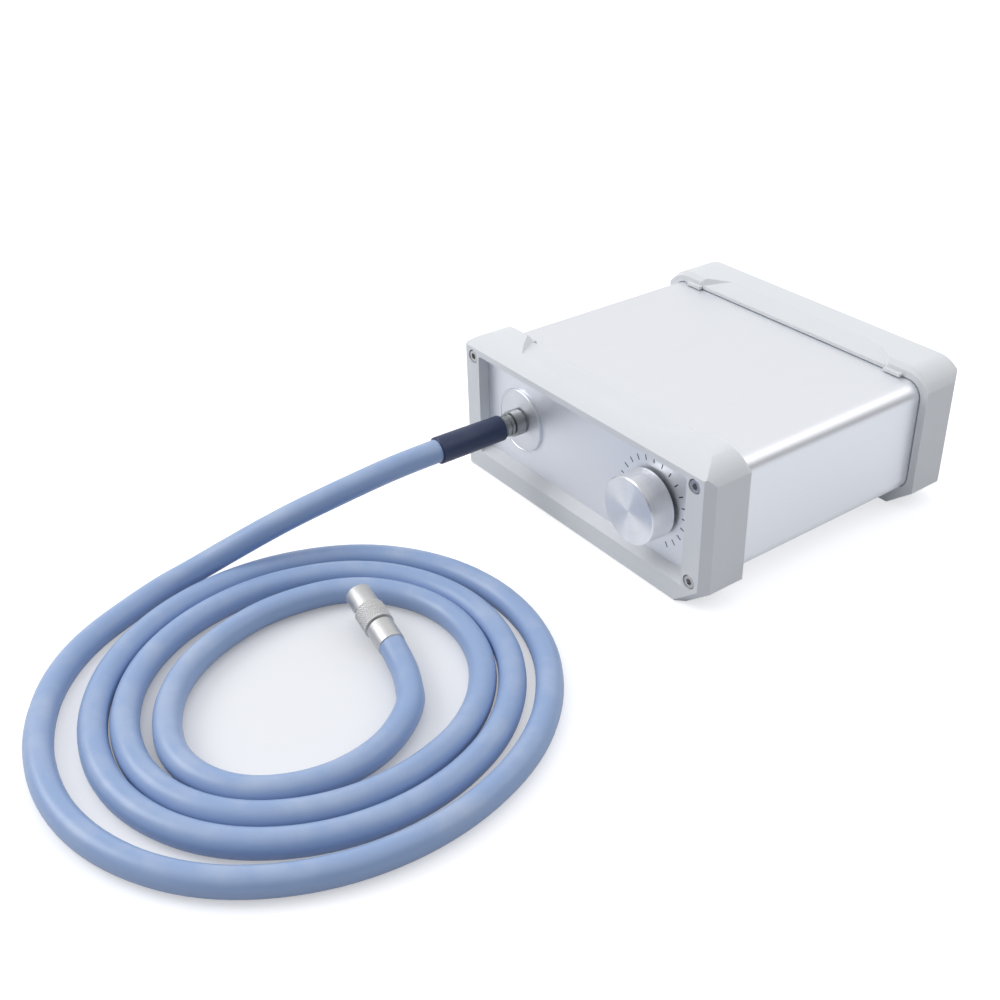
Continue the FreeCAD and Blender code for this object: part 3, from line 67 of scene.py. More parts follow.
AXIS_HEIGHT = 34.7 * MM        # of the port and the knob
PORT_CENTRE = (-41.7 * MM, 0, AXIS_HEIGHT)
KNOB_CENTRE = (43.0 * MM, 0, AXIS_HEIGHT)
CABLE_END = (25.8, -105.3, 6.5)    # in mm from the front face
TIP_CENTRE = from_front(*CABLE_END)
TIP_DIRECTION = Vector((-29.4, 3.6, 4.9)).normalized()
TIP_TURN = TIP_DIRECTION.rotation_difference(Vector((0, 1, 0))).to_euler()


# ---------------------------------------------------------------- building node trees

def empty_tree(owner):
    """The node tree of a material or world, with nothing in it."""
    owner.use_nodes = True
    owner.node_tree.nodes.clear()
    return owner.node_tree


def link(tree, source, target):
    tree.links.new(source, target)


def feed(tree, value, socket):
    """Give a socket a value, or what another node puts out."""
    if isinstance(value, bpy.types.NodeSocket):
        link(tree, value, socket)
    else:
        socket.default_value = value


def add_math(tree, operation, first, second=None):
    node = tree.nodes.new("ShaderNodeMath")
    node.operation = operation
    feed(tree, first, node.inputs[0])
    if second is not None:
        feed(tree, second, node.inputs[1])
    return node.outputs[0]


def add_vector_math(tree, operation, vector, constant):
    """A number worked out from a vector and a constant one."""
    node = tree.nodes.new("ShaderNodeVectorMath")
    node.operation = operation
    node.inputs[1].default_value = constant
    link(tree, vector, node.inputs[0])
    return node.outputs["Value"]


def add_split(tree, vector):
    """The outputs X, Y and Z of a vector."""
    node = tree.nodes.new("ShaderNodeSeparateXYZ")
    link(tree, vector, node.inputs[0])
    return node.outputs


def add_range(tree, value, low, high, to_low=0.0, to_high=1.0, way="LINEAR"):
    """A value between low and high, spread from to_low to to_high and held at the ends."""
    node = tree.nodes.new("ShaderNodeMapRange")
    node.interpolation_type = way
    node.inputs["From Min"].default_value = low
    node.inputs["From Max"].default_value = high
    node.inputs["To Min"].default_value = to_low
    node.inputs["To Max"].default_value = to_high
    link(tree, value, node.inputs["Value"])
    return node.outputs[0]


def add_mix(tree, share, first, second):
    """The first value where the share is 0, and the second, a number, where it is 1."""
    node = tree.nodes.new("ShaderNodeMix")
    node.inputs["B"].default_value = second
    link(tree, share, node.inputs["Factor"])
    link(tree, first, node.inputs["A"])
    return node.outputs[0]


def add_noise(tree, vector, scale, detail):
    node = tree.nodes.new("ShaderNodeTexNoise")
    node.inputs["Detail"].default_value = detail
    link(tree, vector, node.inputs["Vector"])
    feed(tree, scale, node.inputs["Scale"])
    return node.outputs["Fac"]


# ---------------------------------------------------------------- camera

CAMERA_PLACE = (0.35571, -0.35528, 0.29829)
CAMERA_AZIMUTH = 52.46         # degrees, as the next two
CAMERA_ELEVATION = 31.86
CAMERA_ROLL = -0.37
CAMERA_LENS = 46.33            # mm, as the sensor's width
SENSOR_WIDTH = 36
CAMERA_SHIFT = (-0.04796, 0.00333)
NEAREST_SEEN = 10 * MM


def make_camera():
    data = bpy.data.cameras.new("camera")
    data.sensor_width = SENSOR_WIDTH
    data.lens = CAMERA_LENS
    data.shift_x, data.shift_y = CAMERA_SHIFT
    data.clip_start = NEAREST_SEEN
    camera = bpy.data.objects.new("camera", data)
    bpy.context.scene.collection.objects.link(camera)
    camera.matrix_world = (
        Matrix.Translation(CAMERA_PLACE)
        @ Matrix.Rotation(math.radians(CAMERA_AZIMUTH), 4, "Z")
        @ Matrix.Rotation(math.radians(90 - CAMERA_ELEVATION), 4, "X")
        @ Matrix.Rotation(math.radians(CAMERA_ROLL), 4, "Z")
    )
    bpy.context.scene.camera = camera


# ---------------------------------------------------------------- room, floor and lamps

BRIGHT_WAY = (-0.40, 0.28, 0.87)   # towards the brightest part of the room
BRIGHT_EDGE = (-0.10, 0.70)        # how far a direction faces it where the light starts and is full
BRIGHT_LIGHT = 0.87
LEFT_HORIZON = 0.36
RIGHT_HORIZON = 0.15
CAMERA_LIGHT = 1.0            # the room as the camera sees it
WHITE = (1, 1, 1, 1)


def make_world():
    """A studio room: white to the camera, dim low down and bright above on the left for the rest."""
    world = bpy.data.worlds.new("studio")
    bpy.context.scene.world = world
    tree = empty_tree(world)
    out = tree.nodes.new("ShaderNodeOutputWorld")
    back = tree.nodes.new("ShaderNodeBackground")
    back.inputs["Color"].default_value = WHITE
    path = tree.nodes.new("ShaderNodeLightPath")
    way = tree.nodes.new("ShaderNodeTexCoord").outputs["Generated"]
    facing = add_vector_math(tree, "DOT_PRODUCT", way, BRIGHT_WAY)
    brightness = add_range(tree, facing, *BRIGHT_EDGE, way="SMOOTHSTEP")
    horizon = add_range(tree, add_split(tree, way)["X"], -1, 1, LEFT_HORIZON, RIGHT_HORIZON)
    room = add_mix(tree, brightness, horizon, BRIGHT_LIGHT)
    level = add_mix(tree, path.outputs["Is Camera Ray"], room, CAMERA_LIGHT)
    link(tree, level, back.inputs["Strength"])
    link(tree, back.outputs[0], out.inputs["Surface"])


REFLECTED_LIFT = 0.34          # the share of the floor's lift that reflections show
FLOOR_WHITE = (0.62, 0.635, 0.67, 1)
FLOOR_LIFT = 0.61              # what the floor adds to its own light where it is seen
FLOOR_SIZE = 8.0
FLOOR_DROP = 0.1 * MM          # of the floor under the part
COIL_SHADE_CENTRE = (0.025, -0.214, 0)    # the middle of the coil, where the painted shade on the floor is darkest
COIL_SHADE_REACH = (0.05, 0.11)    # how far from it the lift starts to grow and is whole, so that the painted shade fades out
COIL_SHADE_SHARE = 0.32            # of the lift that is left in the middle, which paints shade on the floor there


def seen_ray(tree):
    """1 for rays that show the backdrop to the camera or through glass, less for reflections."""
    rays = tree.nodes.new("ShaderNodeLightPath").outputs
    reflected = add_math(tree, "MULTIPLY", rays["Is Glossy Ray"], REFLECTED_LIFT)
    seen = add_math(tree, "MAXIMUM", rays["Is Camera Ray"], reflected)
    return add_math(tree, "MAXIMUM", seen, rays["Is Transmission Ray"])


def floor_material():
    """Matt white that glows a little where it is seen, and less inside the coil, which paints shade on
    the floor there.
    """
    material = bpy.data.materials.new("floor_white")
    tree = empty_tree(material)
    out = tree.nodes.new("ShaderNodeOutputMaterial")
    matt = tree.nodes.new("ShaderNodeBsdfDiffuse")
    matt.inputs["Color"].default_value = FLOOR_WHITE
    glow = tree.nodes.new("ShaderNodeEmission")
    both = tree.nodes.new("ShaderNodeAddShader")
    place = tree.nodes.new("ShaderNodeTexCoord").outputs["Object"]
    # painted shade: the glow is lowered towards the middle of the coil
    away = add_vector_math(tree, "DISTANCE", place, COIL_SHADE_CENTRE)
    lift = add_range(tree, away, *COIL_SHADE_REACH, FLOOR_LIFT * COIL_SHADE_SHARE, FLOOR_LIFT)
    link(tree, add_math(tree, "MULTIPLY", seen_ray(tree), lift), glow.inputs["Strength"])
    link(tree, matt.outputs[0], both.inputs[0])
    link(tree, glow.outputs[0], both.inputs[1])
    link(tree, both.outputs[0], out.inputs["Surface"])
    return material


def make_floor():
    bpy.ops.mesh.primitive_plane_add(size=FLOOR_SIZE, location=(0, 0, -FLOOR_DROP))
    floor = bpy.context.object
    floor.name = "floor"
    floor.data.materials.append(floor_material())


def add_softbox(name, place, target, width, depth, power):
    """A large soft lamp that looks at a point."""
    data = bpy.data.lights.new(name, "AREA")
    data.shape = "RECTANGLE"
    data.size = width
    data.size_y = depth
    data.energy = power
    lamp = bpy.data.objects.new(name, data)
    bpy.context.scene.collection.objects.link(lamp)
    lamp.location = place
    way = Vector(target) - Vector(place)
    lamp.rotation_euler = way.to_track_quat("-Z", "Y").to_euler()
    return lamp


def make_lamps():
    overhead = add_softbox("softbox_above", place=(-0.2, -0.1, 1.3), target=(0, -0.05, 0),
                           width=1.4, depth=1.2, power=2.8)
    overhead.visible_glossy = False    # metal that faces up shows the room and doesn't turn white
    add_softbox("softbox_left", place=(-0.55, -0.72, 0.68), target=(0, -0.06, 0.03),
                width=0.6, depth=0.5, power=3.5)
    add_softbox("softbox_rear", place=(0.62, 0.65, 0.85), target=(0, 0, 0.05),
                width=1.1, depth=0.6, power=1.5)


make_camera()
make_world()
make_floor()
make_lamps()


# ---------------------------------------------------------------- shared surface effects

NOISE_SPREAD = (0.35, 0.65)    # the middle of a noise, which is spread from 0 to 1
PATCH_SCALE = 18.0
PATCH_SPREAD = (0.3, 0.7)
RING_SCALE = 3000.0
SMUDGE_SCALE = 90.0
DUST_SCALE = 60.0
DUST_SPREAD = (0.45, 0.75)
DUST_SLOPE = (0.2, 0.95)       # the normal's z where dust starts to lie and where it lies full


def make_group(name, inputs, outputs):
    """An empty node group with these sockets; returns it with its ends."""
    group = bpy.data.node_groups.new(name, "ShaderNodeTree")
    for title, kind, value in inputs:
        socket = group.interface.new_socket(title, in_out="INPUT", socket_type=kind)
        socket.default_value = value
    for title in outputs:
        group.interface.new_socket(title, in_out="OUTPUT", socket_type="NodeSocketFloat")
    return group, group.nodes.new("NodeGroupInput").outputs, group.nodes.new("NodeGroupOutput").inputs


def make_grain_group():
    """Fine moulded or sprayed grain, with slow changes of tone and gloss over the surface."""
    group, given, result = make_group("surface_grain", [
        ("Vector", "NodeSocketVector", (0, 0, 0)),
        ("Grain Scale", "NodeSocketFloat", 2200.0),
    ], ["Height", "Patches"])
    fine = add_noise(group, given["Vector"], given["Grain Scale"], detail=4)
    slow = add_noise(group, given["Vector"], PATCH_SCALE, detail=5)
    link(group, fine, result["Height"])
    link(group, add_range(group, slow, *PATCH_SPREAD), result["Patches"])
    return group


def make_streak_group():
    """Long fine lines; the vector input is already squeezed along the lines."""
    group, given, result = make_group("brushed_lines", [
        ("Vector", "NodeSocketVector", (0, 0, 0)),
        ("Line Scale", "NodeSocketFloat", 900.0),
    ], ["Height", "Lines"])
    lines = add_noise(group, given["Vector"], given["Line Scale"], detail=6)
    link(group, lines, result["Height"])
    link(group, add_range(group, lines, *NOISE_SPREAD), result["Lines"])
    return group


def make_turned_group():
    """Rings of a turned piece; the vector is centred, with the lathe's axis along y."""
    group, given, result = make_group("turned_rings", [
        ("Vector", "NodeSocketVector", (0, 0, 0)),
    ], ["Height", "Rings", "Smudges"])
    parts = add_split(group, given["Vector"])
    across = add_math(group, "POWER", parts["X"], 2.0)
    up = add_math(group, "POWER", parts["Z"], 2.0)
    radius = add_math(group, "SQRT", add_math(group, "ADD", across, up))
    place = group.nodes.new("ShaderNodeCombineXYZ")
    link(group, radius, place.inputs["X"])
    link(group, parts["Y"], place.inputs["Y"])
    rings = add_noise(group, place.outputs[0], RING_SCALE, detail=4)
    slow = add_noise(group, given["Vector"], SMUDGE_SCALE, detail=4)
    link(group, rings, result["Height"])
    link(group, add_range(group, rings, *NOISE_SPREAD), result["Rings"])
    link(group, add_range(group, slow, *NOISE_SPREAD), result["Smudges"])
    return group


def make_dust_group():
    """Faint dust on what faces up."""
    group, given, result = make_group("settled_dust", [
        ("Vector", "NodeSocketVector", (0, 0, 0)),
        ("Facing", "NodeSocketVector", (0, 0, 0)),
    ], ["Dust"])
    upward = add_range(group, add_split(group, given["Facing"])["Z"], *DUST_SLOPE)
    cloud = add_noise(group, given["Vector"], DUST_SCALE, detail=6)
    dust = add_math(group, "MULTIPLY", upward, add_range(group, cloud, *DUST_SPREAD))
    link(group, dust, result["Dust"])
    return group


grain_group = make_grain_group()
streak_group = make_streak_group()
turned_group = make_turned_group()
dust_group = make_dust_group()


class Finish:
    """One material: a Principled shader, and short ways to build what feeds it."""

    def __init__(self, name, metallic=0.0):
        self.material = bpy.data.materials.new(name)
        self.tree = empty_tree(self.material)
        out = self.tree.nodes.new("ShaderNodeOutputMaterial")
        self.shader = self.tree.nodes.new("ShaderNodeBsdfPrincipled")
        link(self.tree, self.shader.outputs[0], out.inputs["Surface"])
        coordinates = self.tree.nodes.new("ShaderNodeTexCoord")
        self.place = coordinates.outputs["Object"]
        self.normal = coordinates.outputs["Normal"]
        self.set("Metallic", metallic)

    def set(self, socket, value):
        self.shader.inputs[socket].default_value = value

    def mapped(self, location=(0, 0, 0), rotation=(0, 0, 0), scale=(1, 1, 1)):
        """Object coordinates moved, turned and squeezed for a pattern."""
        mapping = self.tree.nodes.new("ShaderNodeMapping")
        mapping.inputs["Location"].default_value = location
        mapping.inputs["Rotation"].default_value = rotation
        mapping.inputs["Scale"].default_value = scale
        link(self.tree, self.place, mapping.inputs["Vector"])
        return mapping.outputs[0]

    def effect(self, group, vector, **values):
        """The outputs of a shared effect with this material's own values."""
        node = self.tree.nodes.new("ShaderNodeGroup")
        node.node_tree = group
        link(self.tree, vector, node.inputs["Vector"])
        for title, value in values.items():
            feed(self.tree, value, node.inputs[title.replace("_", " ")])
        return node.outputs

    def colour(self, mask, low, high):
        """The base colour: low where the mask is 0, high where it is 1."""
        mix = self.tree.nodes.new("ShaderNodeMix")
        mix.data_type = "RGBA"
        first, second = (socket for socket in mix.inputs if socket.type == "RGBA")
        result, = (socket for socket in mix.outputs if socket.type == "RGBA")
        first.default_value = (*low, 1)
        second.default_value = (*high, 1)
        link(self.tree, mask, mix.inputs["Factor"])
        link(self.tree, result, self.shader.inputs["Base Color"])

    def gloss(self, mask, low, high):
        """The roughness, from low to high with the mask."""
        link(self.tree, add_range(self.tree, mask, 0, 1, low, high), self.shader.inputs["Roughness"])

    def bump(self, height, distance):
        node = self.tree.nodes.new("ShaderNodeBump")
        node.inputs["Distance"].default_value = distance
        link(self.tree, height, node.inputs["Height"])
        link(self.tree, node.outputs[0], self.shader.inputs["Normal"])


def darker(colour, share):
    return tuple(part * share for part in colour)


def from_srgb(red, green, blue):
    """Linear colour of a screen colour that is given from 0 to 255."""
    parts = [part / 255 for part in (red, green, blue)]
    return tuple(part / 12.92 if part <= 0.04045 else ((part + 0.055) / 1.055) ** 2.4
                 for part in parts)


# ---------------------------------------------------------------- finishes

def grained(name, colour, roughness, grain, depth, tone, spread):
    """A fine even grain; tone darkens the slow patches and spread changes their gloss."""
    finish = Finish(name)
    surface = finish.effect(grain_group, finish.place, Grain_Scale=grain)
    finish.colour(surface["Patches"], darker(colour, tone), colour)
    finish.gloss(surface["Patches"], roughness - spread, roughness + spread)
    finish.bump(surface["Height"], depth)
    return finish.material


def sprayed(name, colour, roughness):
    """Satin paint with a fine orange peel."""
    return grained(name, colour, roughness, grain=2200.0, depth=0.02 * MM, tone=0.985, spread=0.05)


def moulded(name, colour, roughness, depth=0.05 * MM):
    """Moulded plastic with spark grain."""
    return grained(name, colour, roughness, grain=1800.0, depth=depth, tone=0.97, spread=0.06)


def brushed(name, colour, roughness, squeeze=(1, 0.02, 1), lines=900.0, depth=0.01 * MM,
            contrast=0.07):
    """Rolled, drawn or plated metal with fine lines along one direction."""
    finish = Finish(name, metallic=1.0)
    streaks = finish.effect(streak_group, finish.mapped(scale=squeeze), Line_Scale=lines)
    finish.colour(streaks["Lines"], darker(colour, 1 - contrast), colour)
    finish.gloss(streaks["Lines"], roughness - contrast, roughness + contrast)
    finish.bump(streaks["Height"], depth)
    return finish.material


RING_TONE = 0.92               # how dark the dark rings of turned metal are


def turned(name, colour, roughness, centre, rotation=(0, 0, 0)):
    """Metal from the lathe; the rotation lays the axis of its rings, through the centre, along y."""
    finish = Finish(name, metallic=1.0)
    shift = Euler(rotation).to_matrix() @ (-Vector(centre))
    rings = finish.effect(turned_group, finish.mapped(shift, rotation))
    finish.colour(rings["Rings"], darker(colour, RING_TONE), colour)
    finish.gloss(rings["Smudges"], roughness - 0.05, roughness + 0.07)
    finish.bump(rings["Height"], 0.006 * MM)
    return finish.material


def spun(name, colour, roughness, side_roughness, centre):
    """Metal from the lathe: a spun face that throws its light back in wedges, and a softer side."""
    finish = Finish(name, metallic=1.0)
    rings = finish.effect(turned_group, finish.mapped(-Vector(centre)))
    finish.colour(rings["Rings"], darker(colour, RING_TONE), colour)
    facing = add_math(finish.tree, "ABSOLUTE", add_split(finish.tree, finish.normal)["Y"])
    finish.gloss(facing, side_roughness, roughness)
    finish.set("Anisotropic", 0.9)
    finish.set("Anisotropic Rotation", 0.25)
    round_way = finish.tree.nodes.new("ShaderNodeTangent")
    round_way.direction_type = "RADIAL"
    round_way.axis = "Y"
    link(finish.tree, round_way.outputs[0], finish.shader.inputs["Tangent"])
    return finish.material


DUST_COLOUR = (0.75, 0.77, 0.80)


def rubbery(name, colour, roughness, dust, coat):
    """Silicone: smooth, with slow changes of gloss and faint dust on what faces up."""
    finish = Finish(name)
    surface = finish.effect(grain_group, finish.place, Grain_Scale=1500.0)
    settled = finish.effect(dust_group, finish.place, Facing=finish.normal)
    share = add_math(finish.tree, "MULTIPLY", settled["Dust"], dust)
    finish.colour(share, colour, DUST_COLOUR)
    finish.gloss(surface["Patches"], roughness - 0.06, roughness + 0.08)
    finish.bump(surface["Height"], 0.015 * MM)
    finish.set("Coat Weight", coat)
    finish.set("Coat Roughness", 0.25)
    return finish.material


def optical(name, colour, roughness):
    """Polished glass with a faint smear on it."""
    finish = Finish(name)
    finish.set("Transmission Weight", 0.9)
    finish.set("IOR", 1.52)
    surface = finish.effect(grain_group, finish.place)
    finish.colour(surface["Patches"], darker(colour, 0.97), colour)
    finish.gloss(surface["Patches"], roughness, roughness + 0.04)
    return finish.material


LIGHT_GREY = from_srgb(225, 228, 232)
BOOT_BLUE = from_srgb(36, 51, 86)
CABLE_BLUE = from_srgb(142, 167, 208)
DIAL_INK = from_srgb(38, 42, 62)
UPRIGHT_LINES = (1, 1, 0.02)
PANEL = dict(colour=(0.85, 0.87, 0.915), roughness=0.46, squeeze=(0.03, 1, 1), lines=3200.0,
             depth=0.001 * MM, contrast=0.02)

FINISHES = {                   # how each material slot is made
    "bezel_plastic": (moulded, dict(colour=LIGHT_GREY, roughness=0.48, depth=0.03 * MM)),
    "body_anodised": (brushed, dict(colour=(0.92, 0.94, 0.98), roughness=0.42, squeeze=(1, 0.008, 1),
                                    lines=3200.0, depth=0.0012 * MM, contrast=0.015)),
    "panel_anodised": (brushed, PANEL),
    "rear_panel_anodised": (brushed, PANEL),
    "screw_steel": (brushed, dict(colour=(0.52, 0.52, 0.53), roughness=0.30, squeeze=(1, 1, 1),
                                  lines=2500.0, depth=0.001 * MM, contrast=0.02)),
    "port_aluminium": (turned, dict(colour=(0.78, 0.80, 0.84), roughness=0.40, centre=PORT_CENTRE)),
    "spring_steel": (turned, dict(colour=(0.60, 0.60, 0.62), roughness=0.2, centre=PORT_CENTRE)),
    "black_anodised": (moulded, dict(colour=(0.035, 0.035, 0.04), roughness=0.4)),
    "optical_glass": (optical, dict(colour=(0.92, 0.96, 0.98), roughness=0.02)),
    "lamp_board": (sprayed, dict(colour=(0.82, 0.83, 0.82), roughness=0.35)),
    "lamp_dome": (sprayed, dict(colour=(0.90, 0.72, 0.18), roughness=0.15)),
    "fan_plastic": (moulded, dict(colour=(0.028, 0.028, 0.03), roughness=0.45)),
    "knob_aluminium": (spun, dict(colour=(0.96, 0.97, 1.0), roughness=0.33, side_roughness=0.37,
                                  centre=KNOB_CENTRE)),
    "shaft_steel": (brushed, dict(colour=(0.58, 0.58, 0.60), roughness=0.25)),
    "control_case": (brushed, dict(colour=(0.52, 0.49, 0.42), roughness=0.35)),
    "nut_plating": (turned, dict(colour=(0.64, 0.64, 0.65), roughness=0.25, centre=KNOB_CENTRE)),
    "circuit_board": (sprayed, dict(colour=(0.01, 0.09, 0.03), roughness=0.25)),
    "standoff_brass": (brushed, dict(colour=(0.70, 0.52, 0.22), roughness=0.28, squeeze=UPRIGHT_LINES)),
    "ferrite": (moulded, dict(colour=(0.05, 0.05, 0.055), roughness=0.6)),
    "capacitor_can": (brushed, dict(colour=(0.68, 0.69, 0.71), roughness=0.3, squeeze=UPRIGHT_LINES)),
    "chip_black": (moulded, dict(colour=(0.02, 0.02, 0.02), roughness=0.5)),
    "terminal_green": (moulded, dict(colour=(0.02, 0.22, 0.06), roughness=0.35)),
    "jack_black": (moulded, dict(colour=(0.022, 0.022, 0.024), roughness=0.4)),
    "switch_black": (moulded, dict(colour=(0.022, 0.022, 0.025), roughness=0.42)),
    "rocker_black": (moulded, dict(colour=(0.025, 0.025, 0.028), roughness=0.25, depth=0.01 * MM)),
    "plug_steel": (turned, dict(colour=(0.42, 0.435, 0.44), roughness=0.38, centre=PORT_CENTRE)),
    "boot_rubber": (rubbery, dict(colour=BOOT_BLUE, roughness=0.5, dust=0.03, coat=0.1)),
    "cable_silicone": (rubbery, dict(colour=CABLE_BLUE, roughness=0.4, dust=0.25, coat=0.3)),
    "tip_steel": (turned, dict(colour=(0.70, 0.70, 0.705), roughness=0.50, centre=TIP_CENTRE,
                               rotation=TIP_TURN)),
    "fibre_glass": (sprayed, dict(colour=(0.80, 0.84, 0.88), roughness=0.12)),
}
materials = {slot: make(slot, **values) for slot, (make, values) in FINISHES.items()}


# ---------------------------------------------------------------- making pieces

def select_only(piece):
    bpy.ops.object.select_all(action="DESELECT")
    piece.select_set(True)
    bpy.context.view_layer.objects.active = piece


def apply_modifier(piece, modifier):
    select_only(piece)
    bpy.ops.object.modifier_apply(modifier=modifier.name)


def settle(piece, matrix):
    """Put a piece at its place, and the place in its mesh."""
    select_only(piece)
    piece.matrix_world = matrix
    bpy.ops.object.transform_apply(location=True, rotation=True, scale=True)


def choose(piece, kind, test):
    """In edit mode, select the faces or edges that pass a test, and nothing else."""
    bpy.ops.mesh.select_mode(type=kind)
    bpy.ops.mesh.select_all(action="DESELECT")
    mesh = bmesh.from_edit_mesh(piece.data)
    for part in mesh.faces if kind == "FACE" else mesh.edges:
        if test(part):
            part.select_set(True)
    bmesh.update_edit_mesh(piece.data)


def extrude_up(distance):
    bpy.ops.mesh.extrude_region_move(TRANSFORM_OT_translate={"value": (0, 0, distance)})


def dress(piece, slot, body, *stands_for):
    """Give a new piece its finish and let it ride on its body in place of CAD nodes."""
    piece.data.materials.clear()
    piece.data.materials.append(materials[slot])
    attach(piece, body)
    if stands_for:
        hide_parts(*stands_for)


# ---------------------------------------------------------------- bezels

BEZEL_ROUND = 0.3 * MM
BEZEL_ROUND_STEPS = 3
MERGE_DISTANCE = 0.005 * MM
FLAT_ANGLE = math.radians(0.3)     # faces that turn by less are one face
CORNER_ANGLE = math.radians(20)    # edges that turn by more are rounded
BEZEL_SMOOTH_ANGLE = math.radians(22)


def soften(node):
    """A copy of a CAD node with whole flat faces and rounded edges."""
    piece = bpy.data.objects.new(node + "_softened", nodes[node].data.copy())
    bpy.context.scene.collection.objects.link(piece)
    select_only(piece)
    bpy.ops.object.mode_set(mode="EDIT")
    bpy.ops.mesh.select_all(action="SELECT")
    bpy.ops.mesh.remove_doubles(threshold=MERGE_DISTANCE)
    bpy.ops.mesh.customdata_custom_splitnormals_clear()
    bpy.ops.mesh.dissolve_limited(angle_limit=FLAT_ANGLE)
    bpy.ops.object.mode_set(mode="OBJECT")
    bevel = piece.modifiers.new("round_edges", "BEVEL")
    bevel.width = BEZEL_ROUND
    bevel.segments = BEZEL_ROUND_STEPS
    bevel.limit_method = "ANGLE"
    bevel.angle_limit = CORNER_ANGLE
    bevel.use_clamp_overlap = True
    apply_modifier(piece, bevel)
    bpy.ops.object.shade_smooth_by_angle(angle=BEZEL_SMOOTH_ANGLE)
    flat = piece.modifiers.new("flat_faces", "WEIGHTED_NORMAL")
    flat.keep_sharp = True
    apply_modifier(piece, flat)
    dress(piece, slot_of[node], body_of[node], node)


# ---------------------------------------------------------------- dial

DIAL_RADIUS = 18.1 * MM        # of the middle of each mark
MARK_LENGTH = 2.5 * MM
MARK_WIDTH = 0.5 * MM
MARK_RISE = 0.03 * MM          # of the print above the panel
MARK_CORNER = MARK_WIDTH / 4
MARK_CORNER_STEPS = 3
MARK_ANGLES = range(-60, 241, 15)
INK_ROUGHNESS = 0.5


def is_mark_corner(edge):
    """An edge that rises from the panel."""
    first, second = edge.verts
    return abs(first.co.z - second.co.z) > MARK_RISE / 2


def make_first_mark():
    """One thin strip at the origin, along x, with rounded corners."""
    bpy.ops.object.select_all(action="DESELECT")
    bpy.ops.mesh.primitive_plane_add(size=1)
    mark = bpy.context.object
    settle(mark, Matrix.Diagonal((MARK_LENGTH, MARK_WIDTH, 1, 1)))
    bpy.ops.object.mode_set(mode="EDIT")
    bpy.ops.mesh.select_all(action="SELECT")
    extrude_up(MARK_RISE)
    choose(mark, "EDGE", is_mark_corner)
    bpy.ops.mesh.bevel(offset=MARK_CORNER, segments=MARK_CORNER_STEPS, affect="EDGES")
    bpy.ops.mesh.select_all(action="SELECT")
    bpy.ops.mesh.normals_make_consistent(inside=False)
    bpy.ops.object.mode_set(mode="OBJECT")
    return mark


def make_dial_marks():
    """Thin printed strips round the knob: one is made, copied round and joined."""
    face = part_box("front_panel")[0][1]
    first = make_first_mark()
    copies = []
    for degrees in MARK_ANGLES:
        mark = first.copy()
        mark.data = first.data.copy()
        bpy.context.scene.collection.objects.link(mark)
        settle(mark, Matrix.Translation((KNOB_CENTRE[0], face, KNOB_CENTRE[2]))
               @ Matrix.Rotation(-math.radians(degrees), 4, "Y")
               @ Matrix.Translation((DIAL_RADIUS, 0, 0))
               @ Matrix.Rotation(math.radians(90), 4, "X"))
        copies.append(mark)
    bpy.data.objects.remove(first)
    for mark in copies:
        mark.select_set(True)
    bpy.ops.object.join()
    marks = bpy.context.object
    marks.name = "dial_marks"
    dress(marks, "panel_anodised", "case")
    marks.data.materials[0] = moulded("dial_ink", DIAL_INK, INK_ROUGHNESS)


# ---------------------------------------------------------------- cable

CABLE_RADIUS = 5 * MM
CABLE_ROUND_STEPS = 7
CABLE_RUN_STEPS = 10
LEAD_POINTS = [                # from the boot down to the coil, in mm from the front face
    (-41.7, -39.067, 34.7),
    (-41.7, -57.0, 34.7),
    (-45.0, -81.0, 30.2),
    (-50.6, -105.0, 23.6),
    (-56.8, -127.0, 14.8),
    (-60.6, -143.5, 8.3),
    (-60.9, -160.1, 5.2),
]
TAIL_POINTS = [                # from the coil's last turn up to the end fitting
    (46.2, -111.1, 5.0),
    (36.4, -107.3, 5.1),
    CABLE_END,
]
COIL_CENTRE = (25.0, -145.0)   # in mm, as the radii
TURN_RADII = [                 # of the loose turns, inwards from the left, six to a turn
    88.0, 84.8, 86.6, 85.5, 90.2, 87.6,
    73.2, 67.4, 70.5, 72.2, 77.0, 75.8,
    61.4, 56.8, 60.0, 59.8, 66.6, 65.4,
    44.6, 42.0, 49.6, 45.6, 40.2, 39.6,
]
RADII_FIRST_ANGLE = 180        # degrees, as the angles below
RADII_STEP = 60
COIL_FIRST_ANGLE = 220
COIL_LAST_ANGLE = 1481
COIL_STEP = 30
SPLINE_CUT = math.cos(math.radians(COIL_STEP / 2))    # how far the spline runs inside its points


def turn_radius(angle):
    """The coil's radius at an angle, on a smooth curve through TURN_RADII."""
    place = (angle - RADII_FIRST_ANGLE) / RADII_STEP
    index = int(place)
    share = place - index
    picks = [TURN_RADII[min(max(index + step, 0), len(TURN_RADII) - 1)] for step in (-1, 0, 1, 2)]
    slope_in = (picks[2] - picks[0]) / 2
    slope_out = (picks[3] - picks[1]) / 2
    return (
        (2 * share ** 3 - 3 * share ** 2 + 1) * picks[1]
        + (share ** 3 - 2 * share ** 2 + share) * slope_in
        + (-2 * share ** 3 + 3 * share ** 2) * picks[2]
        + (share ** 3 - share ** 2) * slope_out
    )


def guide_route():
    """The cable's control points in metres, in the part's frame."""
    points = list(LEAD_POINTS)
    for angle in range(COIL_FIRST_ANGLE, COIL_LAST_ANGLE, COIL_STEP):
        radius = turn_radius(angle) / SPLINE_CUT
        turn = math.radians(angle)
        points.append((
            COIL_CENTRE[0] + radius * math.cos(turn),
            COIL_CENTRE[1] + radius * math.sin(turn),
            CABLE_RADIUS / MM,
        ))
    points += TAIL_POINTS
    return [from_front(*point) for point in points]


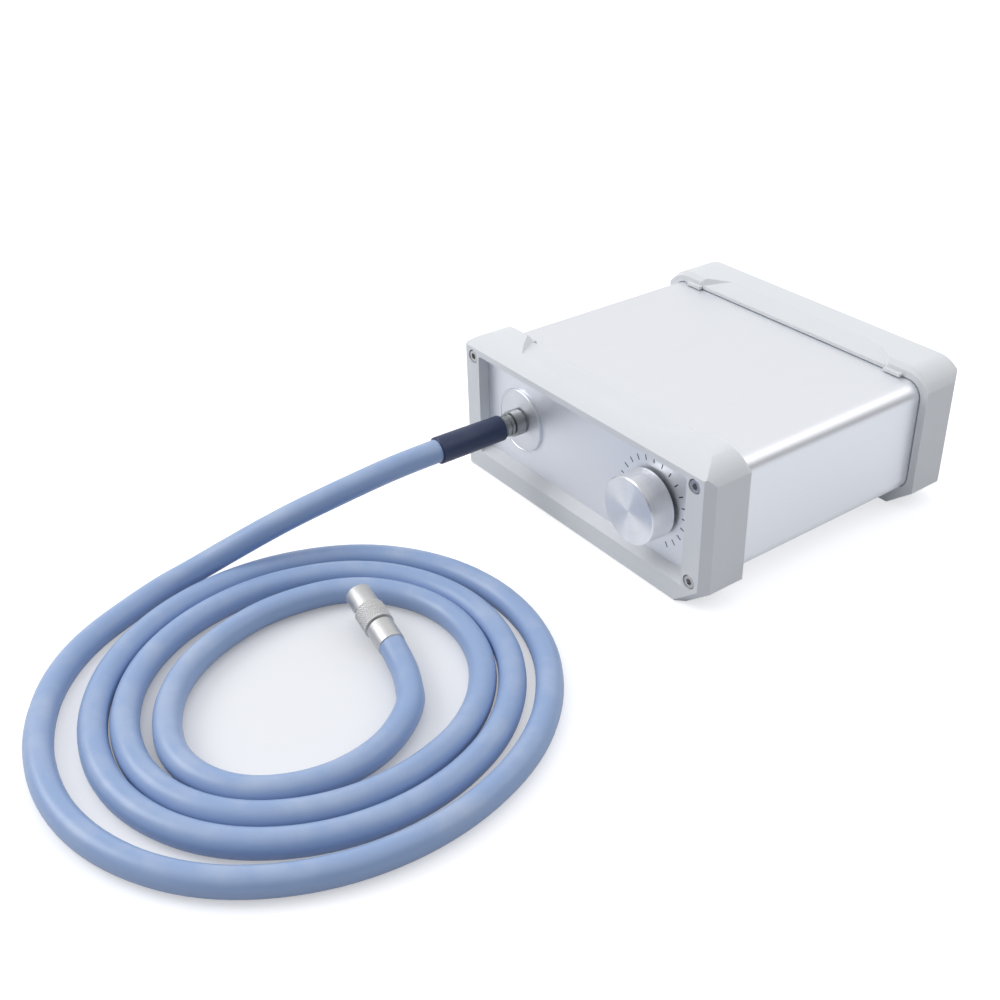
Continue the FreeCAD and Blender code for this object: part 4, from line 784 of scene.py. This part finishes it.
def make_cable():
    data = bpy.data.curves.new("light_guide_cable", "CURVE")
    data.dimensions = "3D"
    data.bevel_depth = CABLE_RADIUS
    data.bevel_resolution = CABLE_ROUND_STEPS
    data.resolution_u = CABLE_RUN_STEPS
    data.use_fill_caps = True
    route = guide_route()
    spline = data.splines.new("NURBS")
    spline.points.add(len(route) - 1)
    for point, place in zip(spline.points, route):
        point.co = (*place, 1)
    spline.order_u = 3
    spline.use_endpoint_u = True
    cable = bpy.data.objects.new("light_guide_cable", data)
    bpy.context.scene.collection.objects.link(cable)
    dress(cable, "cable_silicone", "light_guide", "guide_lead", "guide_coil", "guide_tail")


# ---------------------------------------------------------------- end fitting

NOSE_START = 10.7              # from the cable's end, in mm, as the sizes below
NOSE_LENGTH = 19.0
NOSE_RADIUS = 5.2
FIBRE_RADIUS = 3.2
POCKET_DEPTH = 1.0
RIM_BEVEL = 0.4
KNURL_LENGTH = 9.0
KNURL_RADIUS = 6.0
KNURL_DEPTH = 0.36
NEAR = 0.01                    # places that lie closer than this are the same
RIM_BEVEL_STEPS = 2
KNURL_TEETH = 34               # round the band, in each of the two crossing threads
KNURL_ROWS = 40                # of vertices along the band
ROUND_STEPS = 204              # of vertices round it
NOSE_SMOOTH_ANGLE = math.radians(28)


def saw(value):
    """A wave of straight ramps between 0 and 1."""
    return abs((value % 1.0) * 2 - 1)


def distance_from_axis(point):
    """In mm, from the z axis that the nose is made on."""
    return math.hypot(point.x, point.y) / MM


def faces_up(face):
    """The upper end of the nose as it is made, upright."""
    return face.normal.z > 0.9


def is_outer_rim(edge):
    """A round corner of the band's two ends or of the barrel's mouth."""
    first, second = (vertex.co for vertex in edge.verts)
    on_band = distance_from_axis(first) > KNURL_RADIUS - NEAR
    on_barrel = distance_from_axis(first) > NOSE_RADIUS - NEAR
    on_mouth = on_barrel and first.z > (NOSE_LENGTH - NEAR) * MM
    return abs(first.z - second.z) < NEAR * MM and (on_band or on_mouth)


def runs_along_band(edge):
    first, second = (vertex.co for vertex in edge.verts)
    return abs(first.z - second.z) > MM and distance_from_axis(first) > KNURL_RADIUS - NEAR


def cut_knurl(piece):
    """Press two crossing threads into the vertices of the band's round side."""
    pitch = 2 * math.pi * KNURL_RADIUS / KNURL_TEETH
    for vertex in piece.data.vertices:
        along = vertex.co.z / MM
        if distance_from_axis(vertex.co) < KNURL_RADIUS - NEAR or along > KNURL_LENGTH:
            continue
        turns = math.atan2(vertex.co.y, vertex.co.x) / (2 * math.pi) * KNURL_TEETH
        ridge = min(saw(turns + along / pitch), saw(turns - along / pitch))
        share = 1 - KNURL_DEPTH * (1 - ridge) / KNURL_RADIUS
        vertex.co.x *= share
        vertex.co.y *= share


def make_knurled_nose():
    """The end fitting's nose: a diamond-knurled band, then a smooth barrel with a fibre pocket."""
    bpy.ops.object.select_all(action="DESELECT")
    bpy.ops.mesh.primitive_cylinder_add(vertices=ROUND_STEPS, radius=KNURL_RADIUS * MM,
                                        depth=KNURL_LENGTH * MM)
    nose = bpy.context.object
    nose.name = "knurled_nose"
    settle(nose, Matrix.Translation((0, 0, KNURL_LENGTH / 2 * MM)))
    bpy.ops.object.mode_set(mode="EDIT")
    choose(nose, "FACE", faces_up)
    bpy.ops.mesh.inset(thickness=(KNURL_RADIUS - NOSE_RADIUS) * MM)
    extrude_up((NOSE_LENGTH - KNURL_LENGTH) * MM)
    bpy.ops.mesh.inset(thickness=(NOSE_RADIUS - FIBRE_RADIUS) * MM)
    extrude_up(-POCKET_DEPTH * MM)
    choose(nose, "EDGE", is_outer_rim)
    bpy.ops.mesh.bevel(offset=RIM_BEVEL * MM, segments=RIM_BEVEL_STEPS, affect="EDGES")
    choose(nose, "EDGE", runs_along_band)
    bpy.ops.mesh.subdivide(number_cuts=KNURL_ROWS - 1)
    bpy.ops.object.mode_set(mode="OBJECT")
    cut_knurl(nose)
    lie = TIP_DIRECTION.to_track_quat("Z", "Y").to_matrix().to_4x4()
    settle(nose, Matrix.Translation(TIP_CENTRE) @ lie @ Matrix.Translation((0, 0, NOSE_START * MM)))
    bpy.ops.object.shade_smooth_by_angle(angle=NOSE_SMOOTH_ANGLE)
    dress(nose, slot_of["tip_nose"], body_of["tip_nose"], "tip_nose")


# ---------------------------------------------------------------- the whole object

def dress_cad_nodes():
    """The CAD nodes keep their meshes and get their finishes."""
    for name, piece in nodes.items():
        piece.data.materials.clear()
        piece.data.materials.append(materials[slot_of[name]])


dress_cad_nodes()
make_knurled_nose()
make_cable()
make_dial_marks()
soften("front_bezel")
soften("rear_bezel")

bpy.context.scene.view_settings.view_transform = "Standard"
bpy.context.view_layer.update()
